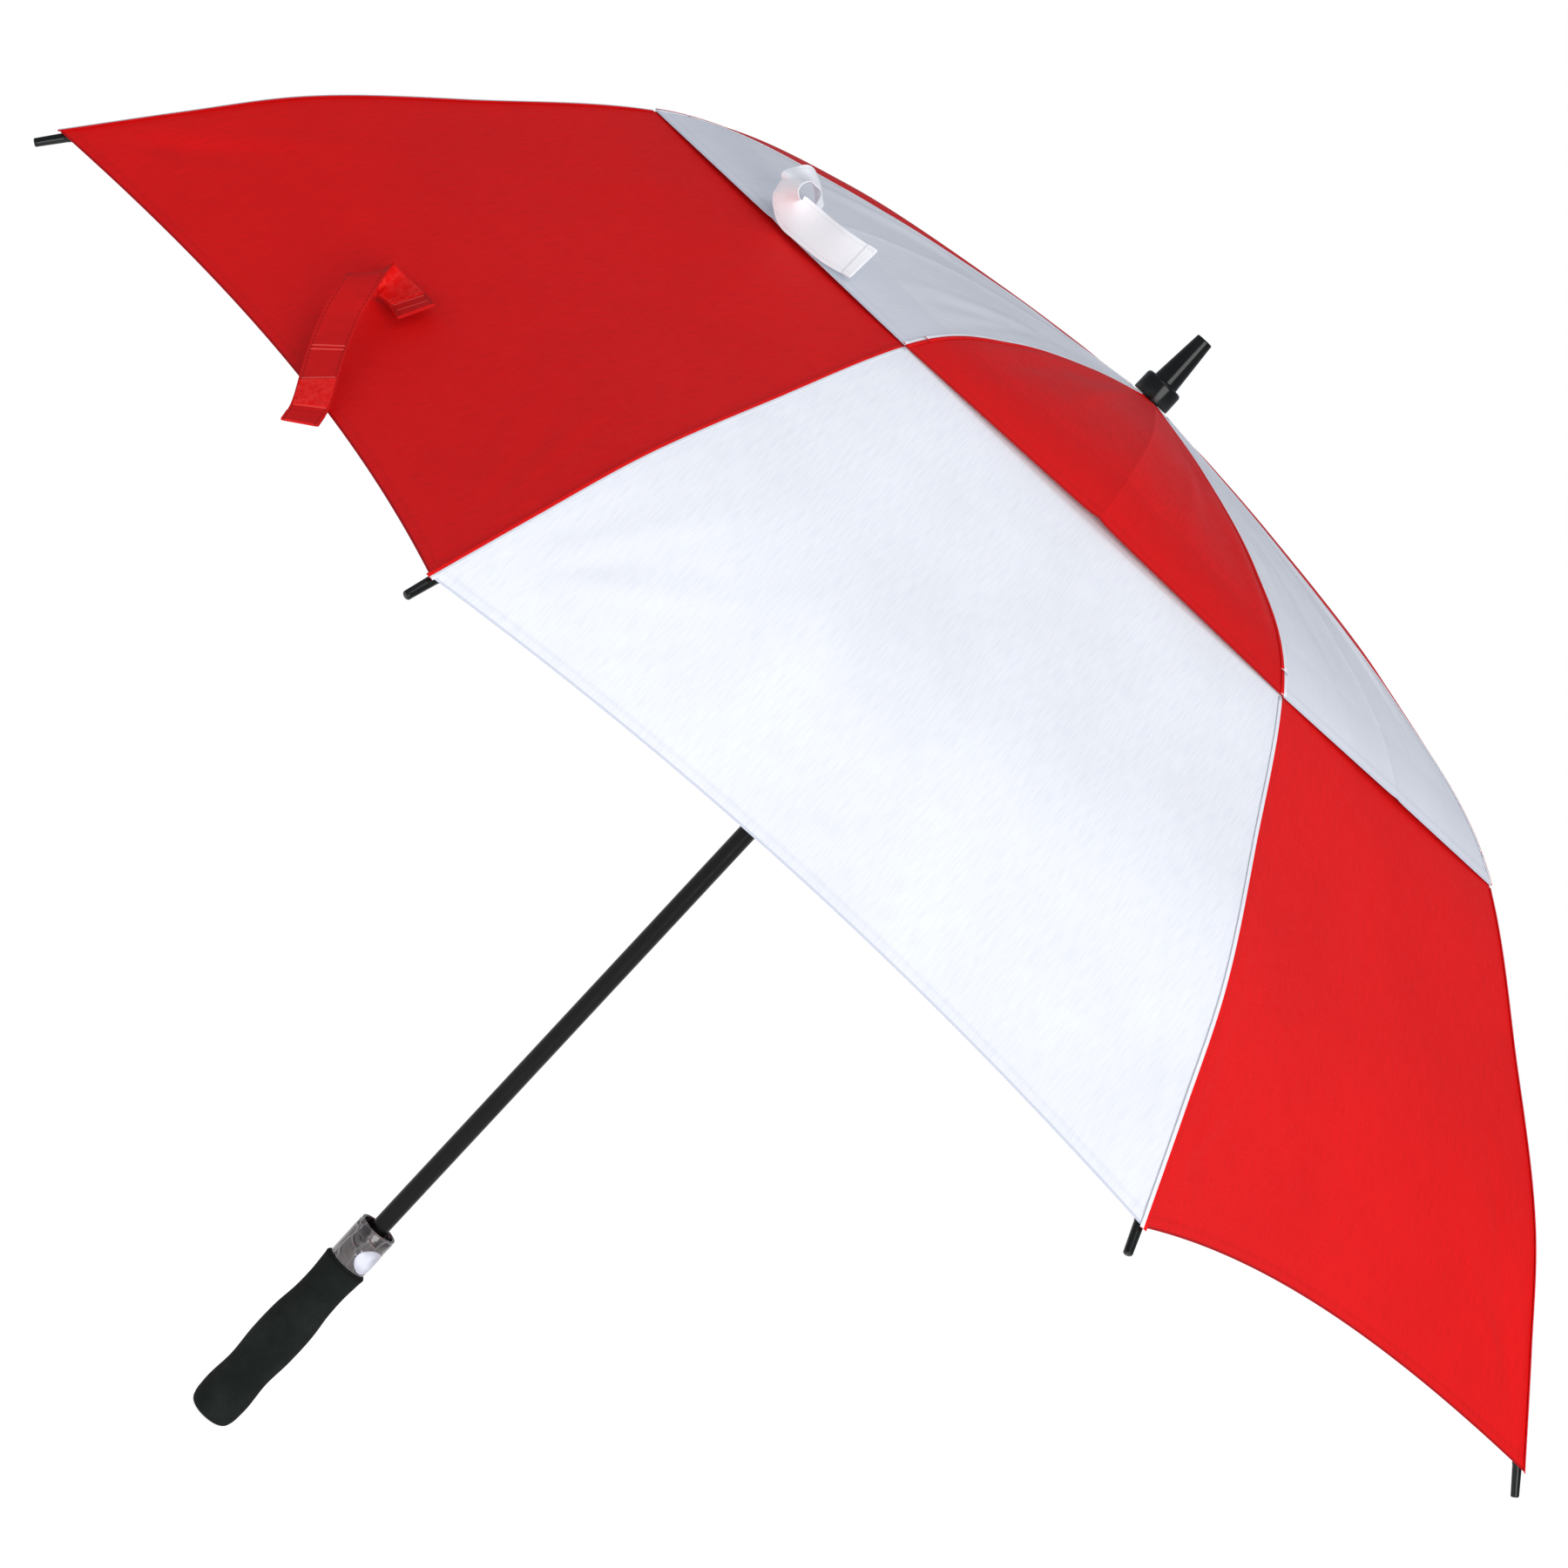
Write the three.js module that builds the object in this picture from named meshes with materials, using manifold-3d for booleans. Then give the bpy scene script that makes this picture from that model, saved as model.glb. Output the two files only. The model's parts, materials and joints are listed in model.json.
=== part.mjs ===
// Golf umbrella, standing open: a vented double canopy on eight fibreglass ribs,
// with stretchers and a runner on the shaft, and a foam grip with a push button.
// Millimetres. The shaft lies on +Z, from the flat butt of the grip at the origin
// to the ferrule. Rib 1 points along +X and the others follow anticlockwise.

import * as THREE from 'three';
import { mergeVertices } from 'three/addons/utils/BufferGeometryUtils.js';
import Module from 'manifold-3d';

const wasm = await Module();
wasm.setup();

// ---- Driving dimensions ------------------------------------------------------

const RIB_COUNT = 8;
const RIB_PITCH = (2 * Math.PI) / RIB_COUNT;
const GAP = 0.3; // left between pieces that touch

// Centreline of an open rib, as [distance from the shaft's axis, height].
const RIB_STATIONS = [
  [11, 936],
  [127, 922.6],
  [259, 899.8],
  [366, 867.2],
  [477, 785],
  [551.5, 722.5],
  [602, 665.3],
  [648.8, 609.2],
  [655.2, 601.5],
];
const JOINT_STATION = 3; // the stretcher's clip, where the rib is divided
const HEM_STATION = 7; // the canopy's corner
const RIB_RADIUS = 1.8;
const TONGUE_RADIUS = 2.25;
const TONGUE_THICKNESS = 2;
const TONGUE_LENGTH = 9;
const WIRE_HOLE_RADIUS = 1;
const CLIP_DROP = 6; // from the rib's centreline to the stretcher's pin
const CLIP_INNER_WIDTH = 4.4;
const CLIP_WALL = 1;
const CLIP_BACK = 13; // from the clip's joint to its end on the rib
const CLIP_FRONT = 5;
const CLIP_TOP = 0.8; // above the rib's centreline
const CLIP_LIP = 2; // below it
const CLIP_EYE = 2.6; // half-width of the walls round the pin
const PIN_RADIUS = 1;
const EYE_HOLE_RADIUS = 1.35;
const STRETCHER_HALF_HEIGHT = 2.4;
const CLOSED_SLOPE = THREE.MathUtils.degToRad(87); // of a folded rib's chord

const TIP_LENGTH = 23;
const TIP_PAST_CORNER = 16;
const TIP_RADIUS = 3.2;
const RIB_IN_TIP = 8; // from the canopy's corner to the rib's end, inside the tip

const SHAFT_RADIUS = 6.5;
const SHAFT_BORE = 4.7;
const SHAFT_BOTTOM = 24;
const SHAFT_TOP = 968;

const SLEEVE_RADIUS = 8.3; // of the crown and the runner, around the shaft
const HUB_RADIUS = 14.5;
const SLOT_WIDTH = 2.6;
const SLOT_MARGIN = 1; // by which the cutters run past a hub's faces
const WIRE_RADIUS = 0.6;
const WIRE_CHANNEL = 0.95;
const FIN_FOLD_SIDE = 4.6; // height of the hubs' fins on the side that the arms fold to
const FIN_STOP_SIDE = 2.8; // and on the other side of the wire
const CROWN_SLEEVE = 10;
const RUNNER_TUBE_RADIUS = 9.2;
const RUNNER_FLARE_START = 12; // below the wire
const RUNNER_FLARE_END = 6;
const RUNNER_NOSE = 9;
const RUNNER_SEAT_GAP = 0.7; // under the runner when the umbrella is closed

const FERRULE_BOTTOM = 941;
const FERRULE_COLLAR_RADIUS = 14;
const FERRULE_COLLAR_HEIGHT = 15.5;
const FERRULE_CONE_RADIUS = 9.2;
const FERRULE_TIP_RADIUS = 6;
const FERRULE_EDGE = 1.4;
const TOTAL_LENGTH = 994;

const GRIP_TOP = 144.3;
const GRIP_CORE_RADIUS = 11.5;
const GRIP_FLOOR = 12;
// Outlines of the foam's rounded butt and of its side, as [radius, height].
const BUTT_STATIONS = [
  [11, 0],
  [14.4, 1.6],
  [16.6, 5],
];
const GRIP_STATIONS = [
  [17.4, 10],
  [17.7, 19],
  [16.2, 42],
  [17.6, 65.5],
  [17.3, 89],
  [15.3, 109],
  [15.1, 124],
  [16.1, 139],
];
const COLLAR_RADIUS = 14.5;
const COLLAR_TOP = 176.7;
const COLLAR_EDGE = 0.6;
const SOCKET_RADIUS = 12.2;
const SOCKET_FLOOR = 167.5;

const BUTTON_HEIGHT = 156.2;
const BUTTON_AZIMUTH = THREE.MathUtils.degToRad(115);
const BUTTON_RADIUS = 10.2;
const BUTTON_FACE = 14.8; // just proud of the collar
const BUTTON_BACK = 10.2;
const BUTTON_POCKET_FLOOR = 8.4;
const SPRING_SEAT_RADIUS = 4.6;
const SPRING_SEAT_FLOOR = 12.7;
const SPRING_RADIUS = 3.6;
const SPRING_WIRE = 0.35;
const SPRING_TURNS = 2.5;

const FABRIC = 0.6; // thickness of the canopy's solids
const LOWER_LIFT = 3.1; // of the lower canopy above the ribs' centrelines
const UPPER_LIFT = 4.3;
const TIP_LIFT = 1.6; // more lift at the hem, where the canopy passes over the tips
const UPPER_RIM = 21; // past the clip, where the upper canopy ends
const LOWER_OVERLAP = 32; // before the clip, where the lower canopy begins
const HEM_SAG = 25; // of the hem towards the shaft, half-way between two ribs
const HEM_SCALLOP = 12; // cut out of the hem between two ribs
const RIM_RISE = 3; // of the vent's rim between two ribs

const STRAP_WIDTH = 25;
const STRAP_THICKNESS = 1.4;
const STRAP_LIFT = 4; // above the canopy

// ---- Materials ---------------------------------------------------------------

function material(color, roughness, metalness = 0) {
  return new THREE.MeshStandardMaterial({ color, roughness, metalness });
}

const redFabric = () => material(0xd2221f, 0.62);
const whiteFabric = () => material(0xe9edf4, 0.6);
const redWebbing = () => material(0xc81c1c, 0.8);
const whiteWebbing = () => material(0xf2f4fa, 0.78);
const blackPlastic = () => material(0x14161a, 0.3);
const blackFibreglass = () => material(0x101114, 0.22);
const blackFoam = () => material(0x1d201f, 0.92);
const greyPlastic = () => material(0x57504f, 0.28);
const lilacPlastic = () => material(0xb9bedb, 0.35);
const steel = () => material(0xb4b7bb, 0.35, 1);

// ---- Solids ------------------------------------------------------------------

function toManifold(geometry) {
  const bare = new THREE.BufferGeometry();
  bare.setAttribute('position', geometry.getAttribute('position').clone());
  if (geometry.index) bare.setIndex(geometry.index.clone());
  const merged = mergeVertices(bare, 1e-4);
  return new wasm.Manifold(
    new wasm.Mesh({
      numProp: 3,
      vertProperties: new Float32Array(merged.getAttribute('position').array),
      triVerts: new Uint32Array(merged.index.array),
    }),
  );
}

function toGeometry(solid) {
  const mesh = solid.getMesh();
  const geometry = new THREE.BufferGeometry();
  const positions = new Float32Array(mesh.vertProperties);
  geometry.setAttribute('position', new THREE.BufferAttribute(positions, 3));
  geometry.setIndex(new THREE.BufferAttribute(new Uint32Array(mesh.triVerts), 1));
  geometry.computeVertexNormals();
  return geometry;
}

// A solid of revolution about Z, from [radius, height] pairs given anticlockwise.
function lathe(profile, segments = 20) {
  const points = profile.map(([radius, height]) => new THREE.Vector2(radius, height));
  return new THREE.LatheGeometry(points, segments).rotateX(Math.PI / 2);
}

function closed(profile) {
  return [...profile, profile[0]];
}

// A cylinder along Y, which is the direction of every hinge pin in a rib's group.
function crossPin(radius, length, x, z) {
  return new THREE.CylinderGeometry(radius, radius, length, 6).translate(x, 0, z);
}

function ring(radius, tube, height, around, across) {
  return new THREE.TorusGeometry(radius, tube, across, around).translate(0, 0, height);
}

// A round rod along a curve.
function rod(curve, radius, steps) {
  const section = new THREE.Shape();
  section.absarc(0, 0, radius, 0, 2 * Math.PI);
  return new THREE.ExtrudeGeometry(section, {
    extrudePath: curve,
    steps,
    curveSegments: 3,
  });
}

// A plate standing in the XZ plane, from a shape drawn in [x, z].
function plate(shape, thickness, curveSegments = 5) {
  const options = { depth: thickness, bevelEnabled: false, curveSegments };
  return new THREE.ExtrudeGeometry(shape, options)
    .translate(0, 0, -thickness / 2)
    .rotateX(Math.PI / 2);
}

// A closed sheet of even thickness about surface(u, v), with rows of vertices at
// the given values of u and vSteps columns between v = -1 and v = 1.
function sheet(surface, rows, vSteps, thickness) {
  const positions = [];
  const uSteps = rows.length - 1;
  const step = 1e-3;
  for (const side of [1, -1]) {
    for (const u of rows) {
      for (let j = 0; j <= vSteps; j += 1) {
        const v = -1 + (2 * j) / vSteps;
        const alongU = surface(u + step, v).sub(surface(u - step, v));
        const alongV = surface(u, v + step).sub(surface(u, v - step));
        const normal = alongU.cross(alongV).normalize();
        const point = surface(u, v).addScaledVector(normal, (side * thickness) / 2);
        positions.push(point.x, point.y, point.z);
      }
    }
  }
  const row = vSteps + 1;
  const layer = row * (uSteps + 1);
  const index = [];
  const quad = (a, b, c, d) => index.push(a, b, c, a, c, d);
  for (let i = 0; i < uSteps; i += 1) {
    for (let j = 0; j < vSteps; j += 1) {
      const a = i * row + j;
      quad(a, a + row, a + row + 1, a + 1);
      quad(layer + a, layer + a + 1, layer + a + row + 1, layer + a + row);
    }
  }
  for (let i = 0; i < uSteps; i += 1) {
    const low = i * row;
    const high = low + vSteps;
    quad(low, layer + low, layer + low + row, low + row);
    quad(high, high + row, layer + high + row, layer + high);
  }
  for (let j = 0; j < vSteps; j += 1) {
    const first = j;
    const last = uSteps * row + j;
    quad(first, first + 1, layer + first + 1, layer + first);
    quad(last, layer + last, layer + last + 1, last + 1);
  }
  const geometry = new THREE.BufferGeometry();
  geometry.setAttribute('position', new THREE.Float32BufferAttribute(positions, 3));
  geometry.setIndex(index);
  geometry.computeVertexNormals();
  return geometry;
}

// ---- The rib's line ----------------------------------------------------------

const ribLine = new THREE.CatmullRomCurve3(
  RIB_STATIONS.map(([radius, height]) => new THREE.Vector3(radius, 0, height)),
  false,
  'centripetal',
);
ribLine.arcLengthDivisions = 1600;
const RIB_LENGTH = ribLine.getLength();

// The distance along the rib at which it passes a station.
function distanceOfStation(station) {
  const lengths = ribLine.getLengths();
  const share = station / (RIB_STATIONS.length - 1);
  return lengths[Math.round(share * ribLine.arcLengthDivisions)];
}

const JOINT_DISTANCE = distanceOfStation(JOINT_STATION);
const HEM_DISTANCE = distanceOfStation(HEM_STATION);
const RIM_DISTANCE = JOINT_DISTANCE + UPPER_RIM;
const LOWER_START_DISTANCE = JOINT_DISTANCE - LOWER_OVERLAP;

// Values from one number to another in equal steps.
function spread(from, to, steps) {
  return Array.from({ length: steps + 1 }, (_, i) => from + ((to - from) * i) / steps);
}

// The rib's point, direction and outward normal at a distance along it.
function ribFrame(distance) {
  const share = THREE.MathUtils.clamp(distance / RIB_LENGTH, 0, 1);
  const tangent = ribLine.getTangentAt(share);
  const point = ribLine.getPointAt(share);
  point.addScaledVector(tangent, distance - share * RIB_LENGTH);
  const normal = new THREE.Vector3(-tangent.z, 0, tangent.x);
  return { point, tangent, normal };
}

class RibStretch extends THREE.Curve {
  constructor(from, to) {
    super();
    this.from = from;
    this.to = to;
  }

  getPoint(share) {
    return ribFrame(this.from + share * (this.to - this.from)).point;
  }
}

const crownPivot = ribFrame(0).point;
const joint = ribFrame(JOINT_DISTANCE);
const clipPivot = joint.point.clone().addScaledVector(joint.normal, -CLIP_DROP);
const linkLength = clipPivot.distanceTo(crownPivot);
// The stretcher is as long as its share of the rib, and both pivots at the shaft
// have one radius, so the runner stays on the axis.
const runnerPivot = new THREE.Vector3(crownPivot.x, 0, 2 * clipPivot.z - crownPivot.z);
const runnerClosedHeight = crownPivot.z - 2 * linkLength * Math.sin(CLOSED_SLOPE);

// ---- Shaft, ferrule and hubs -------------------------------------------------

function shaftGeometry() {
  return lathe(
    closed([
      [SHAFT_BORE, SHAFT_BOTTOM],
      [SHAFT_RADIUS, SHAFT_BOTTOM],
      [SHAFT_RADIUS, SHAFT_TOP],
      [SHAFT_BORE, SHAFT_TOP],
    ]),
  );
}

function ferruleGeometry() {
  const bore = SHAFT_RADIUS + GAP;
  const boreTop = SHAFT_TOP + GAP;
  const shoulder = FERRULE_BOTTOM + FERRULE_COLLAR_HEIGHT;
  return lathe([
    [0, boreTop],
    [bore, boreTop],
    [bore, FERRULE_BOTTOM],
    [FERRULE_COLLAR_RADIUS, FERRULE_BOTTOM],
    [FERRULE_COLLAR_RADIUS - 0.4, shoulder - 5],
    [FERRULE_COLLAR_RADIUS - 1.7, shoulder - 1.8],
    [FERRULE_COLLAR_RADIUS - 3.8, shoulder],
    [FERRULE_CONE_RADIUS, shoulder - 0.4],
    [FERRULE_TIP_RADIUS, TOTAL_LENGTH - FERRULE_EDGE],
    [FERRULE_TIP_RADIUS - FERRULE_EDGE, TOTAL_LENGTH],
    [0, TOTAL_LENGTH],
  ]);
}

// Cuts the radial slots and the wire's channel into a hub.
function slottedHub(blank, pivot, slotBottom, slotTop) {
  let hub = toManifold(blank);
  const slotEnd = HUB_RADIUS + SLOT_MARGIN;
  const slot = new THREE.BoxGeometry(slotEnd - SLEEVE_RADIUS, SLOT_WIDTH, slotTop - slotBottom);
  slot.translate((slotEnd + SLEEVE_RADIUS) / 2, 0, (slotBottom + slotTop) / 2);
  for (let k = 0; k < RIB_COUNT; k += 1) {
    hub = hub.subtract(toManifold(slot.clone().rotateZ(k * RIB_PITCH)));
  }
  hub = hub.subtract(toManifold(ring(pivot.x, WIRE_CHANNEL, pivot.z, 24, 5)));
  return toGeometry(hub);
}

function crownGeometry() {
  const bore = SHAFT_RADIUS + GAP;
  const finBottom = crownPivot.z - FIN_FOLD_SIDE;
  const finTop = crownPivot.z + FIN_STOP_SIDE;
  const blank = lathe(
    closed([
      [bore, finBottom - CROWN_SLEEVE],
      [SLEEVE_RADIUS, finBottom - CROWN_SLEEVE],
      [SLEEVE_RADIUS, finBottom],
      [HUB_RADIUS, finBottom],
      [HUB_RADIUS, finTop],
      [bore, finTop],
    ]),
  );
  return slottedHub(blank, crownPivot, finBottom - SLOT_MARGIN, finTop + SLOT_MARGIN);
}

function runnerGeometry() {
  const bore = SHAFT_RADIUS + GAP;
  const tubeLength = runnerClosedHeight - SOCKET_FLOOR - RUNNER_SEAT_GAP;
  const bottom = runnerPivot.z - tubeLength;
  const slotBottom = runnerPivot.z - FIN_STOP_SIDE;
  const finTop = runnerPivot.z + FIN_FOLD_SIDE;
  const blank = lathe(
    closed([
      [bore, bottom],
      [RUNNER_TUBE_RADIUS, bottom],
      [RUNNER_TUBE_RADIUS, runnerPivot.z - RUNNER_FLARE_START],
      [HUB_RADIUS, runnerPivot.z - RUNNER_FLARE_END],
      [HUB_RADIUS, finTop],
      [SLEEVE_RADIUS, finTop],
      [SLEEVE_RADIUS, finTop + RUNNER_NOSE],
      [bore, finTop + RUNNER_NOSE],
    ]),
  );
  return slottedHub(blank, runnerPivot, slotBottom, finTop + SLOT_MARGIN);
}

function hubWireGeometry(pivot) {
  return ring(pivot.x, WIRE_RADIUS, pivot.z, 24, 4);
}

// ---- Handle ------------------------------------------------------------------

function gripGeometry() {
  const foam = new THREE.SplineCurve(
    GRIP_STATIONS.map(([radius, height]) => new THREE.Vector2(radius, height)),
  );
  const outside = foam.getPoints(14).map((point) => [point.x, point.y]);
  const inside = GRIP_CORE_RADIUS + GAP;
  return lathe([
    [0, 0],
    ...BUTT_STATIONS,
    ...outside,
    [COLLAR_RADIUS + 1.1, GRIP_TOP - 1],
    [COLLAR_RADIUS + 0.1, GRIP_TOP],
    [inside, GRIP_TOP],
    [inside, GRIP_FLOOR],
    [0, GRIP_FLOOR],
  ]);
}

// The core under the foam and the collar above it, with a socket for the runner.
function handleBodyGeometry() {
  const bore = SHAFT_RADIUS + GAP;
  const coreBottom = GRIP_FLOOR + GAP;
  const collarBottom = GRIP_TOP + GAP;
  const blank = lathe(
    [
      [0, coreBottom],
      [GRIP_CORE_RADIUS, coreBottom],
      [GRIP_CORE_RADIUS, collarBottom],
      [COLLAR_RADIUS, collarBottom],
      [COLLAR_RADIUS, COLLAR_TOP - COLLAR_EDGE],
      [COLLAR_RADIUS - COLLAR_EDGE, COLLAR_TOP],
      [SOCKET_RADIUS, COLLAR_TOP],
      [SOCKET_RADIUS, SOCKET_FLOOR],
      [bore, SOCKET_FLOOR],
      [bore, SHAFT_BOTTOM - GAP],
      [0, SHAFT_BOTTOM - GAP],
    ],
    28,
  );
  const pocket = radialCylinder(BUTTON_RADIUS + GAP, BUTTON_POCKET_FLOOR, COLLAR_RADIUS + 4, 28);
  return toGeometry(toManifold(blank).subtract(toManifold(pocket)));
}

// A cylinder on the button's axis, between two distances from the shaft's axis.
function radialCylinder(radius, from, to, segments) {
  return new THREE.CylinderGeometry(radius, radius, to - from, segments)
    .rotateZ(-Math.PI / 2)
    .translate((from + to) / 2, 0, BUTTON_HEIGHT)
    .rotateZ(BUTTON_AZIMUTH);
}

function buttonGeometry() {
  const face = new THREE.CylinderGeometry(BUTTON_FACE, BUTTON_FACE, 40, 40)
    .rotateX(Math.PI / 2)
    .translate(0, 0, BUTTON_HEIGHT);
  const stem = radialCylinder(BUTTON_RADIUS, BUTTON_BACK, BUTTON_FACE + 2, 28);
  const seat = radialCylinder(SPRING_SEAT_RADIUS, BUTTON_BACK - 1, SPRING_SEAT_FLOOR, 14);
  return toGeometry(toManifold(stem).intersect(toManifold(face)).subtract(toManifold(seat)));
}

class Helix extends THREE.Curve {
  constructor(radius, length, turns) {
    super();
    this.radius = radius;
    this.length = length;
    this.turns = turns;
  }

  getPoint(share) {
    const angle = share * this.turns * 2 * Math.PI;
    const y = this.radius * Math.cos(angle);
    const z = this.radius * Math.sin(angle);
    return new THREE.Vector3(share * this.length, y, z);
  }
}

function buttonSpringGeometry() {
  const start = BUTTON_POCKET_FLOOR + GAP + SPRING_WIRE;
  const end = SPRING_SEAT_FLOOR - GAP - SPRING_WIRE;
  return rod(new Helix(SPRING_RADIUS, end - start, SPRING_TURNS), SPRING_WIRE, 20)
    .translate(start, 0, BUTTON_HEIGHT)
    .rotateZ(BUTTON_AZIMUTH);
}

// ---- Ribs and stretchers, each drawn in the plane of rib 1 --------------------

function stadium(from, to, radius) {
  const angle = Math.atan2(to.y - from.y, to.x - from.x);
  const shape = new THREE.Shape();
  shape.absarc(to.x, to.y, radius, angle - Math.PI / 2, angle + Math.PI / 2);
  shape.absarc(from.x, from.y, radius, angle + Math.PI / 2, angle + (3 * Math.PI) / 2);
  return shape;
}

function flat(point) {
  return new THREE.Vector2(point.x, point.z);
}

function eyeHole(shape, centre, radius) {
  const hole = new THREE.Path();
  hole.absarc(centre.x, centre.y, radius, 0, 2 * Math.PI, true);
  shape.holes.push(hole);
}

function tongueGeometry() {
  const end = ribFrame(TONGUE_LENGTH).point;
  const shape = stadium(flat(crownPivot), flat(end), TONGUE_RADIUS);
  eyeHole(shape, flat(crownPivot), WIRE_HOLE_RADIUS);
  return plate(shape, TONGUE_THICKNESS, 3);
}

// One of the clip's two walls, with its lower corner round the stretcher's pin.
function clipWallGeometry(side) {
  const place = (along, up) =>
    flat(
      joint.point
        .clone()
        .addScaledVector(joint.tangent, along)
        .addScaledVector(joint.normal, up),
    );
  const outline = [
    place(-CLIP_BACK, CLIP_TOP),
    place(CLIP_FRONT, CLIP_TOP),
    place(CLIP_FRONT, -CLIP_LIP),
    place(CLIP_EYE, -CLIP_DROP),
    place(CLIP_EYE / 2, -CLIP_DROP - 2.2),
    place(-CLIP_EYE / 2, -CLIP_DROP - 2.2),
    place(-CLIP_EYE, -CLIP_DROP),
    place(-CLIP_BACK, -CLIP_LIP),
  ];
  const offset = (CLIP_INNER_WIDTH + CLIP_WALL) / 2;
  return plate(new THREE.Shape(outline), CLIP_WALL).translate(0, side * offset, 0);
}

function clipBridgeGeometry() {
  const start = ribFrame(JOINT_DISTANCE - CLIP_BACK + 0.5).point;
  const end = ribFrame(JOINT_DISTANCE - 4).point;
  const shape = stadium(flat(start), flat(end), CLIP_TOP + 0.3);
  return plate(shape, CLIP_INNER_WIDTH + CLIP_WALL, 2);
}

function innerRibGeometry() {
  const stem = rod(new RibStretch(TONGUE_LENGTH - 1, JOINT_DISTANCE - 2.8), RIB_RADIUS, 9);
  const pinLength = CLIP_INNER_WIDTH + 2 * CLIP_WALL - 0.2;
  const rib = [
    stem,
    clipWallGeometry(1),
    clipWallGeometry(-1),
    clipBridgeGeometry(),
    crossPin(PIN_RADIUS, pinLength, clipPivot.x, clipPivot.z),
  ].reduce((joined, piece) => joined.add(toManifold(piece)), toManifold(tongueGeometry()));
  return toGeometry(rib);
}

function outerRibGeometry() {
  return rod(new RibStretch(JOINT_DISTANCE + 1.2, HEM_DISTANCE + RIB_IN_TIP), RIB_RADIUS, 11);
}

function stretcherGeometry() {
  const shape = stadium(flat(runnerPivot), flat(clipPivot), STRETCHER_HALF_HEIGHT);
  eyeHole(shape, flat(runnerPivot), WIRE_HOLE_RADIUS);
  eyeHole(shape, flat(clipPivot), EYE_HOLE_RADIUS);
  return plate(shape, TONGUE_THICKNESS, 3);
}

// The cap on the rib's end, drawn along +Z from its open end.
function tipGeometry() {
  const bore = RIB_RADIUS + GAP;
  const boreEnd = TIP_LENGTH - TIP_PAST_CORNER + RIB_IN_TIP + GAP;
  return lathe(
    [
      [0, boreEnd],
      [bore, boreEnd],
      [bore, 0],
      [TIP_RADIUS, 0],
      [TIP_RADIUS - 0.4, TIP_LENGTH - 1.2],
      [TIP_RADIUS / 2, TIP_LENGTH],
      [0, TIP_LENGTH],
    ],
    8,
  );
}

function placeTip(mesh) {
  const start = ribFrame(HEM_DISTANCE + TIP_PAST_CORNER - TIP_LENGTH);
  mesh.position.copy(start.point);
  mesh.quaternion.setFromUnitVectors(new THREE.Vector3(0, 0, 1), start.tangent);
  return mesh;
}

// ---- Canopy, each gore drawn about the XZ plane between two ribs --------------

function gorePoint(distance, across, lift, sag) {
  const { point, normal } = ribFrame(distance);
  const edge = point.addScaledVector(normal, lift);
  const halfWidth = edge.x * Math.sin(RIB_PITCH / 2);
  const bow = sag * (1 - across * across);
  const x = edge.x * Math.cos(RIB_PITCH / 2) - bow;
  const y = (halfWidth - GAP / 2) * across;
  return new THREE.Vector3(x, y, edge.z);
}

// The sag grows from none at the vent's rim to all of it at the hem.
function lowerCanopyPoint(distance, across, lift = LOWER_LIFT) {
  const share = Math.max(0, (distance - RIM_DISTANCE) / (HEM_DISTANCE - RIM_DISTANCE));
  const cut = HEM_SCALLOP * share * (1 - across * across);
  return gorePoint(distance - cut, across, lift + TIP_LIFT * share ** 4, HEM_SAG * share);
}

function upperCanopyPoint(distance, across, lift = UPPER_LIFT) {
  const share = Math.max(0, distance / RIM_DISTANCE);
  return gorePoint(distance, across, lift, -RIM_RISE * share ** 3);
}

function overlapRows() {
  return spread(LOWER_START_DISTANCE, RIM_DISTANCE, 2);
}

function lowerGoreGeometry() {
  const rows = [...overlapRows(), ...spread(RIM_DISTANCE, HEM_DISTANCE, 6).slice(1)];
  return sheet(lowerCanopyPoint, rows, 4, FABRIC);
}

function upperGoreGeometry() {
  const rows = [...spread(0, LOWER_START_DISTANCE, 4).slice(0, -1), ...overlapRows()];
  return sheet(upperCanopyPoint, rows, 4, FABRIC);
}

// ---- Straps, each drawn on the gore between ribs 1 and 2 ----------------------

// A strip of webbing along a run of [distance along the ribs, across] places.
function strip(canopyPoint, places, lift, steps) {
  const run = new THREE.CatmullRomCurve3(
    places.map(([distance, across]) => canopyPoint(distance, across, lift)),
  );
  const inner = canopyPoint(places[0][0] - 40, 0, lift);
  const outer = canopyPoint(places[0][0] + 40, 0, lift);
  const outward = new THREE.Vector3(inner.z - outer.z, 0, outer.x - inner.x).normalize();
  const surface = (u, v) => {
    const ahead = run.getPoint(Math.min(1, u + 0.01)).sub(run.getPoint(Math.max(0, u - 0.01)));
    const side = outward.clone().cross(ahead).normalize();
    return run.getPoint(THREE.MathUtils.clamp(u, 0, 1))
      .addScaledVector(ahead.normalize(), Math.min(0, u) + Math.max(0, u - 1))
      .addScaledVector(side, (v * STRAP_WIDTH) / 2);
  };
  return sheet(surface, spread(0, 1, steps), 1, STRAP_THICKNESS);
}

function redStrapGeometry() {
  const fold = JOINT_DISTANCE + 278;
  const hanging = [
    [fold, -0.2],
    [HEM_DISTANCE - 35, 0.06],
    [HEM_DISTANCE + 14, 0.25],
  ];
  return strip(lowerCanopyPoint, hanging, LOWER_LIFT + STRAP_LIFT, 5);
}

function whiteStrapGeometry() {
  const lying = [
    [JOINT_DISTANCE - 22, -0.2],
    [JOINT_DISTANCE - 4, 0.15],
    [JOINT_DISTANCE + 4, 0.55],
  ];
  return strip(upperCanopyPoint, lying, UPPER_LIFT + STRAP_LIFT, 5);
}

// ---- Assembly ----------------------------------------------------------------

const umbrella = new THREE.Group();

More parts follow.
